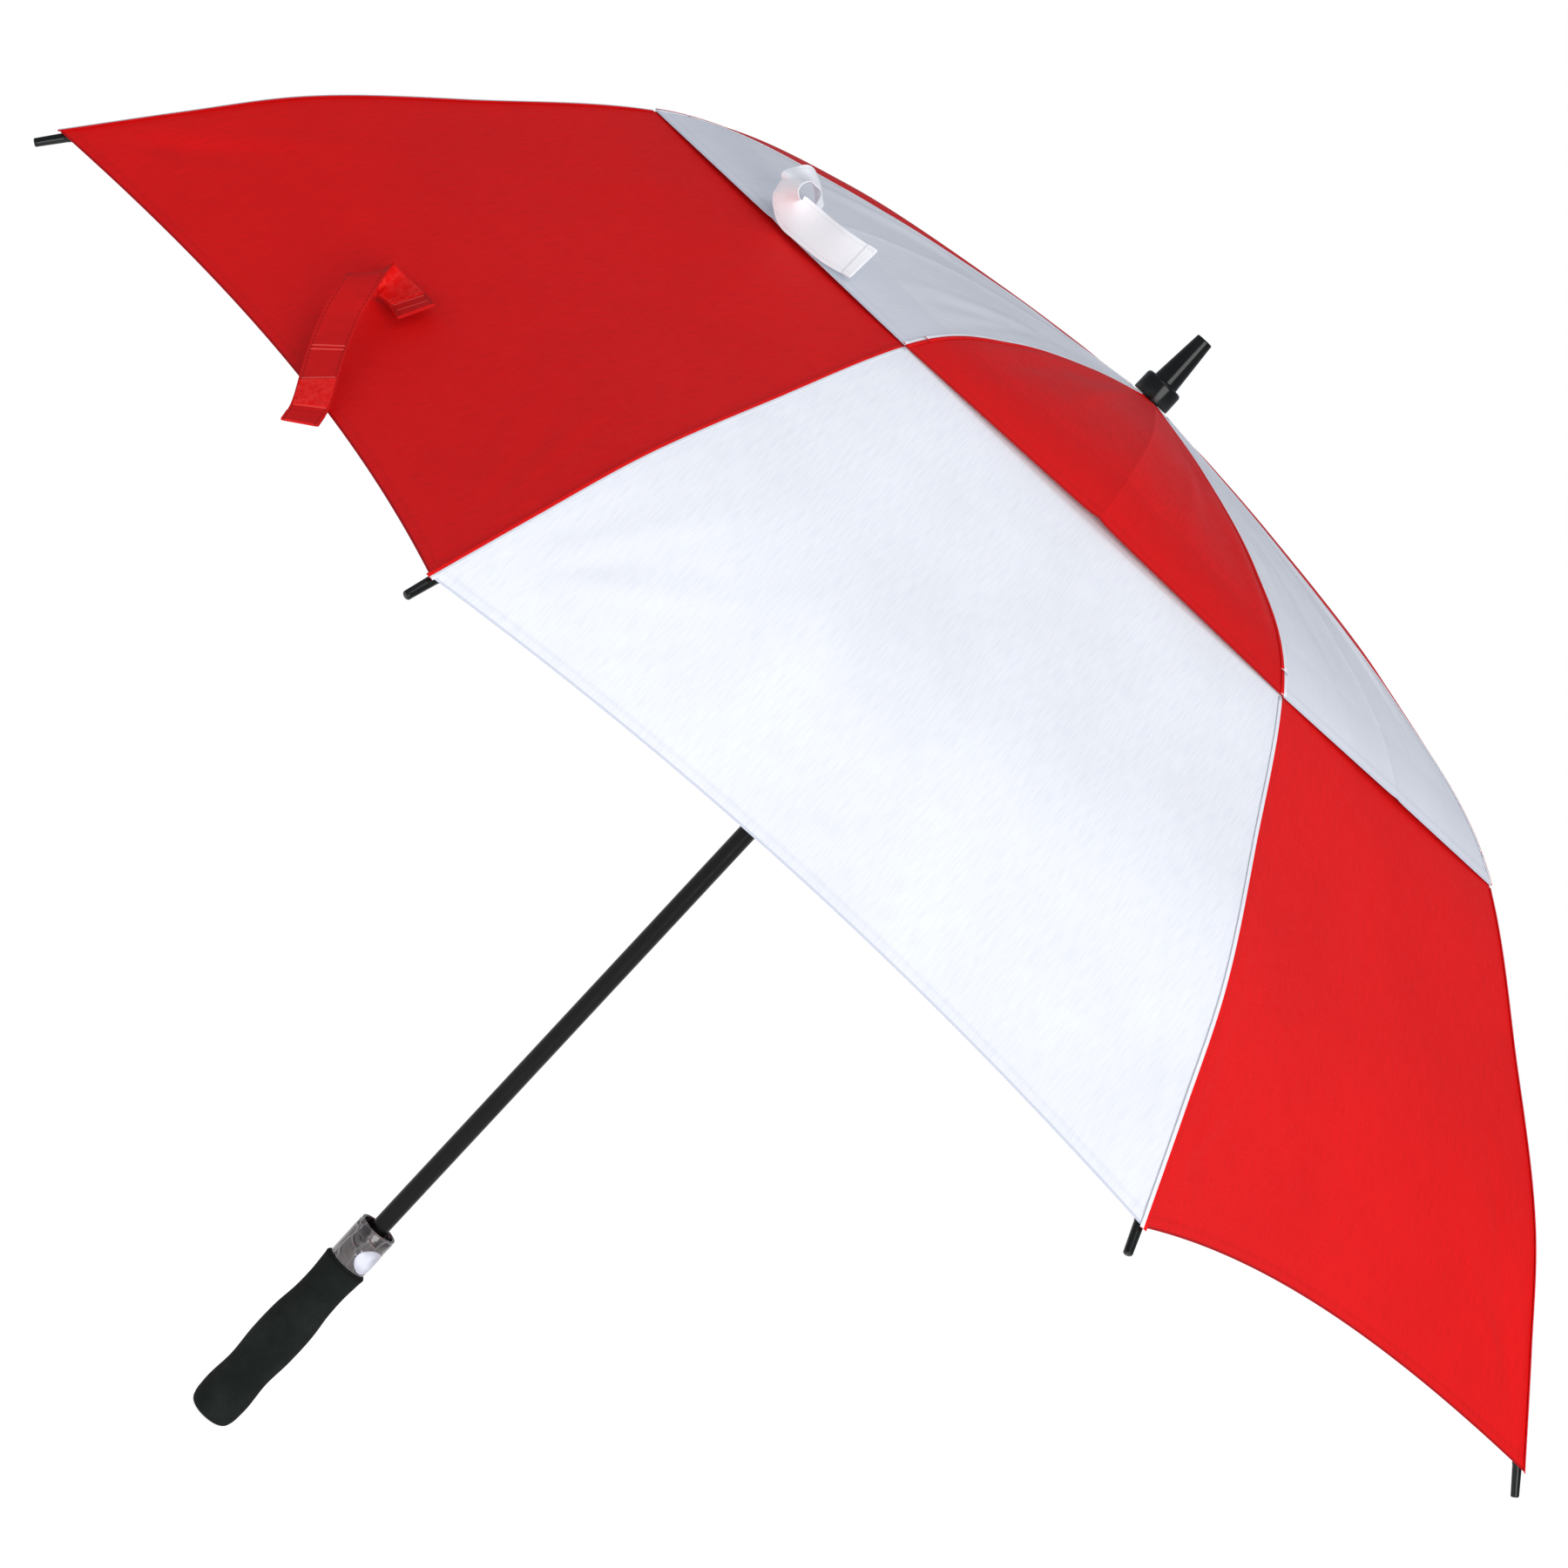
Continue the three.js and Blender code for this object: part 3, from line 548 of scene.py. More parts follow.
def ridge(distance, across_m, start, end, width):
    """How much a point belongs to a fold between two places, 0 to 1."""
    a, b = np.array(start), np.array(end)
    run = b - a
    length = np.linalg.norm(run)
    direction = run / length
    place = np.stack([distance, across_m], -1) - a
    along = place @ direction
    off = place @ np.array([-direction[1], direction[0]])
    fade = smoothstep(along / (0.3 * length)) * smoothstep((length - along) / (0.45 * length))
    return np.exp(-((off / width) ** 2)) * fade


def lower_folds(number, distance, across, half_width):
    """Height of the folds that the tips' pull draws into a lower gore, in metres."""
    draw = random.Random(40 + number)
    side = across * half_width
    height = np.zeros_like(distance)
    # Four folds fan out from each tip, one below the other.
    for corner in (-1, 1):
        for i in range(4):
            lean = math.radians(4 + 11 * i + draw.uniform(-3, 3))
            length = draw.uniform(0.10, 0.24) * (1 - 0.12 * i)
            start = (HEM - 0.012 - 0.006 * i, corner * (TIP_ACROSS - 0.006 * i))
            end = (start[0] - length * math.cos(lean),
                   start[1] - corner * length * (math.sin(lean) + 0.30))
            size = draw.uniform(0.5, 1.1) * MM * draw.choice((-1, 1, 1))
            height += size * ridge(distance, side, start, end, draw.uniform(4.5, 8) * MM)
    # Three shallow ones run down from the vent.
    for _ in range(3):
        start = (JOINT + draw.uniform(0.02, 0.05), draw.uniform(-0.10, 0.10))
        end = (start[0] + draw.uniform(0.10, 0.2), start[1] + draw.uniform(-0.04, 0.04))
        height += draw.uniform(-0.5, 0.6) * MM * ridge(distance, side, start, end, 14 * MM)
    # The cloth is pulled flat over each rib, so folds fade at the seams.
    return height * smoothstep((1 - np.abs(across)) / 0.06)


def upper_folds(number, distance, across, half_width):
    """Height of an upper gore's folds: two planes that meet in a ridge down the middle,
    and slack drawn from the crown towards the rim's corners."""
    draw = random.Random(70 + number)
    side = across * half_width
    fade = smoothstep((distance - 0.01) / 0.04) * smoothstep((RIM + 0.05 - distance) / 0.22)
    creased = number == CREASED_GORE
    slope = CREASE_SLOPE if creased else CREASE_SLOPE * draw.uniform(0.1, 0.5)
    height = slope * half_width * (1 - np.abs(across)) * fade
    pressed = 1.4 if creased else draw.uniform(0.3, 0.9)
    height += pressed * MM * np.exp(-np.abs(side) / (5 * MM)) * smoothstep(distance / 0.05)
    for corner in (-1, 1):
        for i in range(4):
            start = (0.03 + 0.04 * i + draw.uniform(0, 0.02), corner * 0.01 * (i + 1))
            end = (RIM - draw.uniform(0.005, 0.05), corner * draw.uniform(0.045, 0.135))
            size = draw.uniform(0.7, 1.7) * MM * draw.choice((-1, 1))
            height += size * ridge(distance, side, start, end, draw.uniform(5, 10) * MM)
    # Over the vent the folds stay clear of the layer below.
    lowest = -0.5 * MM - 30 * MM * smoothstep((LOWER_START - distance) / 0.09)
    return np.maximum(height, lowest) * smoothstep((1 - np.abs(across)) / 0.1)


class Layer:
    """One layer of a gore as a fine grid: points, normals, thickness and uv maps."""

    def __init__(self, number, surface, folds, rows, hem):
        across = np.linspace(-1, 1, 2 * COLUMNS + 1)
        d, v = np.meshgrid(rows, across, indexing="ij")
        grid = surface(d, v)
        half_width = np.abs(surface(d, np.ones_like(v))[..., 1])
        grid = grid + grid_normals(grid) * folds(number, d, v, half_width)[..., None]
        to_hem = hem - d
        turned = smoothstep((8.6 * MM - to_hem) / (0.9 * MM))
        edge = smoothstep(to_hem / (0.9 * MM))
        self.thickness = CLOTH * (0.35 + 0.65 * edge) * (1 + 1.1 * turned)
        self.rows = rows
        self.angle = (number - 0.5) * PITCH
        self.grid = grid
        self.normals = grid_normals(grid)
        self.cloth = np.stack([v * half_width, d], -1)
        self.edges = np.stack([(1 - np.abs(v)) * half_width, to_hem], -1)

    def half(self, side, first, last):
        """The shell, uv maps and flat area of one half, between two of the rows."""
        rows = slice(int(np.argmin(abs(self.rows - first))),
                     int(np.argmin(abs(self.rows - last))) + 1)
        columns = slice(0, COLUMNS + 1) if side < 0 else slice(COLUMNS, None)
        offset = self.normals * self.thickness[..., None]
        upper = (self.grid + 0.5 * offset)[rows, columns]
        lower = (self.grid - 0.5 * offset)[rows, columns]
        points, faces = shell(upper, lower)
        uvs = {}
        for name, values in (("cloth", self.cloth), ("edges", self.edges)):
            flat = values[rows, columns].reshape(-1, 2)
            uvs[name] = np.concatenate([flat, flat])
        middle = 0.5 * (upper + lower)
        diagonals = np.cross(middle[1:, 1:] - middle[:-1, :-1], middle[1:, :-1] - middle[:-1, 1:])
        area = 0.5 * np.linalg.norm(diagonals, axis=2).sum()
        width = np.ptp(self.cloth[rows, columns][..., 0])
        size = (width, self.rows[rows][-1] - self.rows[rows][0])
        return turn(points, self.angle), faces, uvs, area, size


def rib_axes(rib):
    """A rib's outward and sideways directions."""
    a = (rib - 1) * PITCH
    return np.array([math.cos(a), math.sin(a), 0]), np.array([-math.sin(a), math.cos(a), 0])


def stand(rib, flat):
    """A point or direction drawn as (radius, height), in the plane of a rib."""
    out, _ = rib_axes(rib)
    return out * flat[0] + np.array([0, 0, flat[1]])


def fold_plan(rib, side, first, last, tilt, lift):
    """How cloth beside a rib folds along it: the axis it flattens along, and the anchor.
    The axis leans inwards from the rib's side, so that the cloth stands out as a pleat."""
    start, _, _ = rib_frame(first)
    end, _, _ = rib_frame(last)
    chord = (end - start) / np.linalg.norm(end - start)
    normal = np.array([-chord[1], chord[0]])
    _, sideways = rib_axes(rib)
    axis = side * math.cos(tilt) * sideways - math.sin(tilt) * stand(rib, normal)
    samples, _, outward = rib_frame(np.linspace(first, last, 60))
    heights = (samples + outward * lift - start) @ normal
    middle = 0.5 * (heights.max() + heights.min())
    return axis, stand(rib, start + normal * middle)


def matched_plan(rib, side, axis, lift):
    """The plan for cloth just past the joint, to keep its edge on the cloth before it though
    the outer rib turns there. That asks for a share below the least a squash may keep, so
    the edge ends about 13 mm off at the middle of the gore when the umbrella is closed."""
    point, _, normal = rib_frame(JOINT)
    corner = stand(rib, point + normal * lift)
    reach = np.linalg.norm(corner[:2]) * math.cos(PITCH / 2) + RIM_RISE
    middle = (rib - 1 + side * 0.5) * PITCH
    mid_gore = np.array([reach * math.cos(middle), reach * math.sin(middle), corner[2]])
    across = mid_gore - corner
    folded = across - (1 - FOLDED_SHARE) * across.dot(axis) * axis
    _, sideways = rib_axes(rib)
    back = np.array(Matrix.Rotation(-FLEX_CLOSED, 3, Vector(sideways)))
    change = across - back @ folded
    keep = 1 - change.dot(change) / across.dot(change)
    return change / np.linalg.norm(change), corner, min(max(keep, LEAST_SHARE), 1.0)


def half_gore(name, layer, number, side, span, outer, look, node):
    """One half of a gore: it rides on the rib at its side."""
    rib = number if side < 0 else number % RIBS + 1
    part = "outer" if outer else "inner"
    points, faces, uvs, area, size = layer.half(side, *span)
    obj = sharp(piece(name, points, faces, look, f"{part}_rib_{rib}", [node], uvs), 50)
    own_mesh(obj)


def gore(number):
    """Both layers of the canopy between two ribs, the lower one red in odd gores."""
    below, above = (
        ("red_fabric", "white_upper") if number % 2 == 1 else ("white_fabric", "red_upper")
    )
    main = rows_between(0, JOINT, False)
    brim = rows_between(JOINT, RIM, True)
    upper = Layer(number, upper_point, upper_folds, np.concatenate([main, brim[1:]]), RIM)
    tucked = rows_between(LOWER_START, JOINT, False)
    field = rows_between(JOINT, HEM, True)
    lower = Layer(number, lower_point, lower_folds, np.concatenate([tucked, field[1:]]), HEM)
    for side, letter in ((-1, "a"), (1, "b")):
        rib = number if side < 0 else number % RIBS + 1
        pleat = (*fold_plan(rib, -side, 0, JOINT, UPPER_TILT, UPPER_LIFT), FOLDED_SHARE)
        low_pleat = (*fold_plan(rib, -side, JOINT, HEM, LOWER_TILT, LOWER_LIFT), FOLDED_SHARE)
        rim_pleat = matched_plan(rib, -side, pleat[0], UPPER_LIFT)
        halves = [
            ("upper_gore", upper, (0, JOINT), False, pleat, above, "upper_gore"),
            ("upper_rim", upper, (JOINT, RIM), True, rim_pleat, above, "upper_gore"),
            ("lower_band", lower, (LOWER_START, JOINT), False, pleat, below, "lower_gore"),
            ("lower_gore", lower, (JOINT, HEM), True, low_pleat, below, "lower_gore"),
        ]
        for name, layer, span, outer, plan, look, node in halves:
            half_gore(f"{name}_{number}_{letter}", layer, number, side, span, outer,
                      look, f"{node}_{number}")


# One cross-section of a felled seam, as (side, up) in mm.
SEAM_PROFILE = [
    (-1.2, 0.12), (1.2, 0.12), (2.6, 0.2), (2.3, 0.5), (1.4, 0.75), (0.5, 0.7), (0, 0.42),
    (-0.5, 0.7), (-1.4, 0.75), (-2.3, 0.5), (-2.6, 0.2),
]
NO_EDGE = (20 * MM, 20 * MM)  # a uv far from any seam allowance or hem


def seam(name, rib, first, last, lift, outer, colours):
    """The felled seam over a rib, half of it in each gore's colour, with a groove between."""
    distances = np.arange(first, last, 4 * MM)
    point, _, normal = rib_frame(distances)
    share = np.clip((distances - RIM) / (HEM - RIM), 0, None) if outer else 0 * distances
    height = lift + TIP_LIFT * share**4
    _, sideways = rib_axes(rib)
    points = [stand(rib, p + n * h) for p, n, h in zip(point, normal, height)]
    ups = [stand(rib, n) for n in normal]
    profile = [(a * MM, b * MM) for a, b in SEAM_PROFILE]
    vertices, faces = swept(points, [sideways] * len(points), ups, profile)
    centre = np.array([np.mean([vertices[i] for i in face], axis=0) for face in faces])
    slots = ((centre @ sideways) > 0).astype(int)
    count = len(profile)
    cloth = [(profile[i % count][0], distances[i // count]) for i in range(len(vertices))]
    uvs = {"cloth": cloth, "edges": [NO_EDGE] * len(vertices)}
    body = f"{'outer' if outer else 'inner'}_rib_{rib}"
    piece(name, vertices, faces, colours, body, (), uvs, slots)


def canopy():
    """All the gores, and a seam over each rib: above the vent, on its rim, and below it."""
    for number in range(1, RIBS + 1):
        gore(number)
    for rib in range(1, RIBS + 1):
        lower = ["white_fabric", "red_fabric"] if rib % 2 == 1 else ["red_fabric", "white_fabric"]
        upper = lower[::-1]
        seam(f"upper_seam_{rib}", rib, 6 * MM, JOINT, UPPER_LIFT, False, upper)
        seam(f"rim_seam_{rib}", rib, JOINT, RIM - 1 * MM, UPPER_LIFT, True, upper)
        seam(f"lower_seam_{rib}", rib, RIM + 1 * MM, HEM + 1 * MM, LOWER_LIFT, True, lower)


# ---- Ribs and tips ----


def rod(name, rib, first, last, radius, body, nodes=()):
    """A length of round rib along the rib's line."""
    distances = np.linspace(first, last, max(3, int((last - first) / (6 * MM))))
    point, _, normal = rib_frame(distances)
    _, sideways = rib_axes(rib)
    profile = [(radius * math.cos(a), radius * math.sin(a))
               for a in np.linspace(0, -2 * math.pi, 16, endpoint=False)]
    vertices, faces = swept([stand(rib, p) for p in point], [sideways] * len(point),
                            [stand(rib, n) for n in normal], profile)
    sharp(piece(name, vertices, faces, "black_fibreglass", body, nodes))


def tip(rib):
    """The cap on a rib's end, tapered, with a collar at its mouth."""
    length = TIP_LENGTH
    profile = [
        (0, 0), (2.2 * MM, 0), (3.05 * MM, 0), (3.2 * MM, 0.3 * MM),
        (3.2 * MM, 2.6 * MM), (2.95 * MM, 3.2 * MM), (2.95 * MM, 6 * MM),
        (2.7 * MM, length - 1.6 * MM),
        *arc((1.5 * MM, length - 1.2 * MM), 1.2 * MM, 5, 80, 5),
        (0.9 * MM, length), (0, length),
    ]
    vertices, faces = lathe(profile, 28)
    point, tangent, _ = rib_frame(HEM + TIP_PAST_CORNER - TIP_LENGTH)
    place = Matrix.Translation(Vector(stand(rib, point)))
    place = place @ Vector(stand(rib, tangent)).to_track_quat("Z", "Y").to_matrix().to_4x4()
    vertices = [place @ Vector(v) for v in vertices]
    sharp(piece(f"tip_{rib}", vertices, faces, "black_plastic", f"outer_rib_{rib}",
                [f"rib_tip_{rib}"]), 40)


def ribs():
    """The round rods of each rib, and its tip."""
    for rib in range(1, RIBS + 1):
        rod(f"rib_rod_{rib}", rib, 9 * MM, JOINT - 12 * MM, RIB_RADIUS + 0.08 * MM,
            f"inner_rib_{rib}")
        rod(f"rib_end_{rib}", rib, JOINT + 1.2 * MM, HEM + RIB_IN_TIP, RIB_RADIUS,
            f"outer_rib_{rib}", [f"rib_outer_{rib}"])
        tip(rib)


# ---- Shaft, ferrule and handle ----


def lathed(name, profile, segments, look, node):
    """A piece of revolution on the shaft, its profile in mm."""
    vertices, faces = lathe([(r * MM, h * MM) for r, h in profile], segments)
    return piece(name, vertices, faces, look, "shaft_assembly", [node])


def ferrule():
    """The cap on the shaft: a collar with rounded shoulders and a tapered end."""
    profile = [
        (0, 968.3), (6.8, 968.3), (6.8, 941), (13.4, 941), *arc((13.4, 941.6), 0.6, -90, 0, 4),
        (13.9, 950.5), *arc((11.3, 953.4), 2.6, 0, 82, 8),
        (10.2, 956.1), (9.75, 955.7), (9.35, 955.7), (9.15, 956.2), (9.0, 957.0),
        (6.1, 992.2), *arc((5.1, 992.9), 1.0, 5, 85, 6), (0, 994),
    ]
    sharp(lathed("ferrule_cap", profile, 72, "black_plastic", "ferrule"), 50)


SHAFT_RADIUS = 6.5 * MM
BORE_RADIUS = 4.7 * MM


def shaft():
    """The tube, with many rings along it and a plain bore."""
    low, high = (v[2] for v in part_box("shaft"))
    outer = [(SHAFT_RADIUS, h) for h in np.linspace(low, high, 120)]
    profile = [(BORE_RADIUS, low), *outer, (BORE_RADIUS, high)]
    segments = 48
    vertices, faces = lathe(profile, segments)
    top = (len(profile) - 1) * segments
    for i in range(segments):
        j = (i + 1) % segments
        faces.append([top + i, top + j, j, i])
    sharp(piece("shaft_tube", vertices, faces, "black_fibreglass", "shaft_assembly",
                ["shaft"]), 50)


# The grip's outline as (radius, height) in mm.
GRIP_STATIONS = [(17.4, 10), (17.7, 19), (16.2, 42), (17.6, 65.5), (17.3, 89), (15.3, 109),
                 (15.1, 124), (16.1, 139)]
GRIP_TOP = 144.3


def grip():
    """The foam sleeve: a rounded butt, two swells, and a rolled lip at the collar."""
    radii, heights = zip(*GRIP_STATIONS)
    fine = np.linspace(heights[0], heights[-1], 60)
    # A smooth curve through the stations: cubic Hermite with centred slopes.
    slopes = np.gradient(radii, heights)
    outline = []
    for h in fine:
        i = min(int(np.searchsorted(heights, h, "right")) - 1, len(heights) - 2)
        span = heights[i + 1] - heights[i]
        t = (h - heights[i]) / span
        leaving = (1 + 2 * t) * (1 - t) ** 2 * radii[i]
        leaving_slope = t * (1 - t) ** 2 * span * slopes[i]
        arriving = t * t * (3 - 2 * t) * radii[i + 1]
        arriving_slope = t * t * (1 - t) * span * slopes[i + 1]
        outline.append((leaving + leaving_slope + arriving - arriving_slope, h))
    profile = [
        (0, 0), (6, 0), (10.6, 0.1), *arc((10.8, 5.6), 5.5, -88, -14, 10), (16.9, 6.6),
        *outline, *arc((15.0, 141.2), 1.6, 20, 80, 5), (14.7, GRIP_TOP), (12.0, GRIP_TOP),
        (11.8, GRIP_TOP - 0.4), (11.8, 12), (0, 12),
    ]
    obj = sharp(lathed("foam_grip", profile, 72, "foam", "grip_foam"), 50)


BUTTON_HEIGHT = 156.2 * MM
BUTTON_AZIMUTH = math.radians(115)
BUTTON_RADIUS = 10.2 * MM
BUTTON_FACE = 14.8 * MM  # from the shaft's axis to the middle of the button's face
BUTTON_BACK = 10.2 * MM


def radial(points):
    """Points drawn with +X out of the shaft, moved to the button's place."""
    return turn(np.asarray(points, float) + [0, 0, BUTTON_HEIGHT], BUTTON_AZIMUTH)


def subtract(obj, vertices, faces):
    """Cuts a closed solid out of a piece's mesh."""
    mesh = bpy.data.meshes.new("cutter")
    mesh.from_pydata([tuple(map(float, v)) for v in vertices], [], faces)
    cutter = bpy.data.objects.new("cutter", mesh)
    bpy.context.scene.collection.objects.link(cutter)
    cut = obj.modifiers.new("cut", "BOOLEAN")
    cut.operation = "DIFFERENCE"
    cut.solver = "EXACT"
    cut.object = cutter
    bpy.context.view_layer.update()
    graph = bpy.context.evaluated_depsgraph_get()
    obj.data = bpy.data.meshes.new_from_object(obj.evaluated_get(graph))
    obj.modifiers.clear()
    bpy.data.objects.remove(cutter)


def collar():
    """The handle's core and collar, with a rim, a socket and the button's pocket."""
    profile = [
        (0, 12.3), (11.5, 12.3), (11.5, 144.6), (14.1, 144.6),
        *arc((14.1, 145.0), 0.4, -90, 0, 3),
        (14.5, 160), (14.5, 174.6), (14.25, 175.0), (14.25, 175.9),
        *arc((13.75, 176.2), 0.5, 0, 90, 4), (12.9, 176.7), (12.2, 176.2), (12.2, 167.5),
        (6.8, 167.5), (6.8, 23.7), (0, 23.7),
    ]
    obj = lathed("handle_collar", profile, 96, "grey_plastic", "handle_body")
    pocket = BUTTON_RADIUS + 0.35 * MM
    floor, outside = 8.4 * MM, 20 * MM
    vertices, faces = lathe([(0, floor), (pocket, floor), (pocket, outside), (0, outside)], 64)
    # Turned from +Z to +X, the way the button faces.
    subtract(obj, radial([(z, x, y) for x, y, z in vertices]), faces)
    sharp(obj, 40)


def button():
    """The round button, its face curved as the collar is, with a softened edge."""
    around = 64
    # The face as (radius, drop), from its middle to its edge.
    outline = [(0, 0)] + [(BUTTON_RADIUS * s, 0) for s in np.linspace(0.1, 0.9, 9)]
    outline += [(BUTTON_RADIUS - 0.5 * MM, 0.02 * MM), (BUTTON_RADIUS - 0.2 * MM, 0.12 * MM),
                (BUTTON_RADIUS - 0.05 * MM, 0.3 * MM), (BUTTON_RADIUS, 0.6 * MM)]
    rings, faces = lathe(outline, around)
    faces = [face[:1] + face[:0:-1] for face in faces]
    edge, back = len(rings) - around, len(rings)
    points = [(math.sqrt(BUTTON_FACE**2 - y * y) - drop, y, z) for y, z, drop in rings]
    points += [(BUTTON_BACK, y, z) for y, z, _ in rings[edge:]]
    for i in range(around):
        j = (i + 1) % around
        faces.append([edge + i, back + i, back + j, edge + j])
    faces.append([back + i for i in reversed(range(around))])
    sharp(piece("press_button", radial(points), faces, "lilac_plastic", "button",
                ["push_button"]), 40)


# ---- Straps ----


def smooth_path(points, directions, steps):
    """A Catmull-Rom path through points, evenly sampled, with its directions and length."""
    values = np.concatenate([points, directions], axis=1)
    padded = np.concatenate([[2 * values[0] - values[1]], values, [2 * values[-1] - values[-2]]])
    t = np.linspace(0, 1, 24, endpoint=False)[:, None]
    runs = [
        0.5 * (2 * b + (c - a) * t + (2 * a - 5 * b + 4 * c - d) * t**2
               + (3 * b - a - 3 * c + d) * t**3)
        for a, b, c, d in zip(padded, padded[1:], padded[2:], padded[3:])
    ]
    fine = np.concatenate([*runs, [padded[-2]]])
    spans = np.linalg.norm(np.diff(fine[:, :3], axis=0), axis=1)
    lengths = np.concatenate([[0], np.cumsum(spans)])
    even = np.linspace(0, lengths[-1], steps + 1)
    sampled = np.stack([np.interp(even, lengths, fine[:, i]) for i in range(6)], -1)
    return sampled[:, :3], sampled[:, 3:], lengths[-1]


RED_STRAP_WIDTH = 23 * MM
WHITE_STRAP_WIDTH = 24 * MM
STRAP_STEPS = 180
# Each station is the strap's left and right edge there, as strap_place() reads them.
RED_STATIONS = [
    ((30, 67, 4), (12, 83, 4)), ((23, 62, 5), (5, 77, 5)), ((14, 54, 7), (-3, 68, 7)),
    ((-6, 29, 12), (-19, 47, 12)), ((-28, 6, 18), (-42, 22, 17)),
    ((-46, -7, 24), (-57, 12, 23)), ((-57, -13, 24), (-74, -3, 25)),
    ((-66, -16, 14), (-85, -15, 16)), ((-74, -14, 6), (-96, -17, 7)),
    ((-77, 1, 5), (-99, 2, 5)), ((-74, 21, 8), (-96, 21, 9)),
]
WHITE_STATIONS = [
    ((-32, -6, 1), (-48, -16, 0.5)), ((-25, -1, 16), (-39, -17, 14)),
    ((-12, 6, 28), (-26, -11, 24)), ((-1, 13, 31), (-9, -8, 28)),
    ((1, 16, 26), (0, -6, 19)), ((-6, 19, 20), (2, 1, 7)), ((-11, 29, 18), (0, 22, 4)),
    ((-13, 52, 19), (-2, 55, 4)), ((-19, 70, 19), (-7, 82, 6)),
]
# Patches and hems on the red strap: the look, the share of its length, the share of its
# width to either side, and the face they are on.
RED_PATCHES = {
    "red_loop_patch": ("red_fuzz", (0.08, 0.19), 0.46, 1),
    "red_hook_patch": ("red_fuzz", (0.66, 0.90), 0.45, -1),
    "red_strap_hem": ("red_webbing", (0.0, 0.045), 0.5, 1),
    "red_strap_end": ("red_webbing", (0.965, 1.0), 0.5, -1),
}
# Rows of stitches across it: the share of its length, and the face they are on.
RED_STITCHES = [(0.072, 1), (0.192, 1), (0.315, 1), (0.335, 1), (0.655, -1), (0.905, -1),
                (0.95, -1)]
STITCH_SPAN = 0.0055


def strap_place(surface, edge, lift, place):
    """A place by its distance past the gore's edge, across its middle, and off it, in mm."""
    past, across, off = (v * MM for v in place)
    height = lift + off
    half_width = surface(np.array(edge + past), np.array(1.0), height)[1]
    return surface(np.array(edge + past), np.array(across / half_width), height)


def ribbon(surface, edge, lift, stations, width):
    """Centres, width directions and face directions along a strap, and its length."""
    left, right = (
        [strap_place(surface, edge, lift, pair[i]) for pair in stations] for i in (0, 1)
    )
    centres = 0.5 * (np.array(left) + np.array(right))
    directions = np.array(right) - np.array(left)
    directions /= np.linalg.norm(directions, axis=1, keepdims=True)
    path, sides, length = smooth_path(centres, directions, STRAP_STEPS)
    ahead = np.gradient(path, axis=0)
    ahead /= np.linalg.norm(ahead, axis=1, keepdims=True)
    sides -= ahead * (sides * ahead).sum(axis=1, keepdims=True)
    sides /= np.linalg.norm(sides, axis=1, keepdims=True)
    return path, sides * width, np.cross(sides, ahead), length


def strip(name, track, plan, body, look, node=None, span=(0, 1), reach=0.5, shift=0.0,
          thickness=0.9 * MM):
    """A closed band along part of a strap's track. Shift moves it off the strap's middle."""
    path, sides, ups, length = track
    rows = slice(int(round(span[0] * STRAP_STEPS)), int(round(span[1] * STRAP_STEPS)) + 1)
    shares = np.linspace(-reach, reach, 15)
    crown = 1 - (np.abs(shares) / reach) ** 10
    middle = (path[rows, None] + sides[rows, None] * shares[None, :, None]
              + ups[rows, None] * shift)
    half = ups[rows, None] * (0.5 * thickness * (0.5 + 0.5 * crown))[None, :, None]
    points, faces = shell(middle - half, middle + half)
    width = np.linalg.norm(sides[0])
    places = np.linspace(span[0] * length, span[1] * length, middle.shape[0])
    cloth = np.stack(np.meshgrid(places, shares * width, indexing="ij")[::-1], -1).reshape(-1, 2)
    uvs = {"cloth": np.concatenate([cloth, cloth])}
    obj = piece(name, turn(points, PITCH / 2), faces, look, body, [node] if node else (), uvs)
    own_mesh(obj)
    return sharp(obj, 50)


def straps():
    """The closing straps: the red one stands off the lower gore and rolls over at its end,
    so that its hook patch shows; the white one rises from the upper gore and folds over."""
    plan = fold_plan(1, 1, JOINT, HEM, LOWER_TILT, LOWER_LIFT)
    track = ribbon(lower_point, HEM, LOWER_LIFT, RED_STATIONS, RED_STRAP_WIDTH)
    on_strap = (track, plan, "outer_rib_1")
    main = strip("red_strap", *on_strap, "red_webbing", "strap_red")
    added = [
        strip(name, *on_strap, look, None, span, reach, face * 0.8 * MM)
        for name, (look, span, reach, face) in RED_PATCHES.items()
    ]
    for number, (place, face) in enumerate(RED_STITCHES):
        added.append(strip(f"red_cross_stitch_{number + 1}", *on_strap, "pale_thread", None,
                           (place, place + STITCH_SPAN), 0.42, face * 0.45 * MM, 0.3 * MM))

    plan = fold_plan(1, 1, 0, JOINT, UPPER_TILT, UPPER_LIFT)
    track = ribbon(upper_point, RIM, UPPER_LIFT, WHITE_STATIONS, WHITE_STRAP_WIDTH)
    on_strap = (track, plan, "inner_rib_1", "white_webbing")
    main = strip("white_strap", *on_strap, "strap_white")
    end = strip("white_strap_end", *on_strap, None, (0.955, 1.0), 0.5, 0.8 * MM)


# ---- CAD pieces that keep their shape ----


def finish_node(name, look, width=0.25 * MM):
    """A CAD node shown as it is, with eased edges and a procedural material."""
    obj = frame["nodes"][name]
    obj.data.materials.clear()
    obj.data.materials.append(LOOK[look])
    bevel = obj.modifiers.new("eased", "BEVEL")
    bevel.width = width
    bevel.segments = 2
    bevel.limit_method = "ANGLE"
    bevel.angle_limit = math.radians(38)


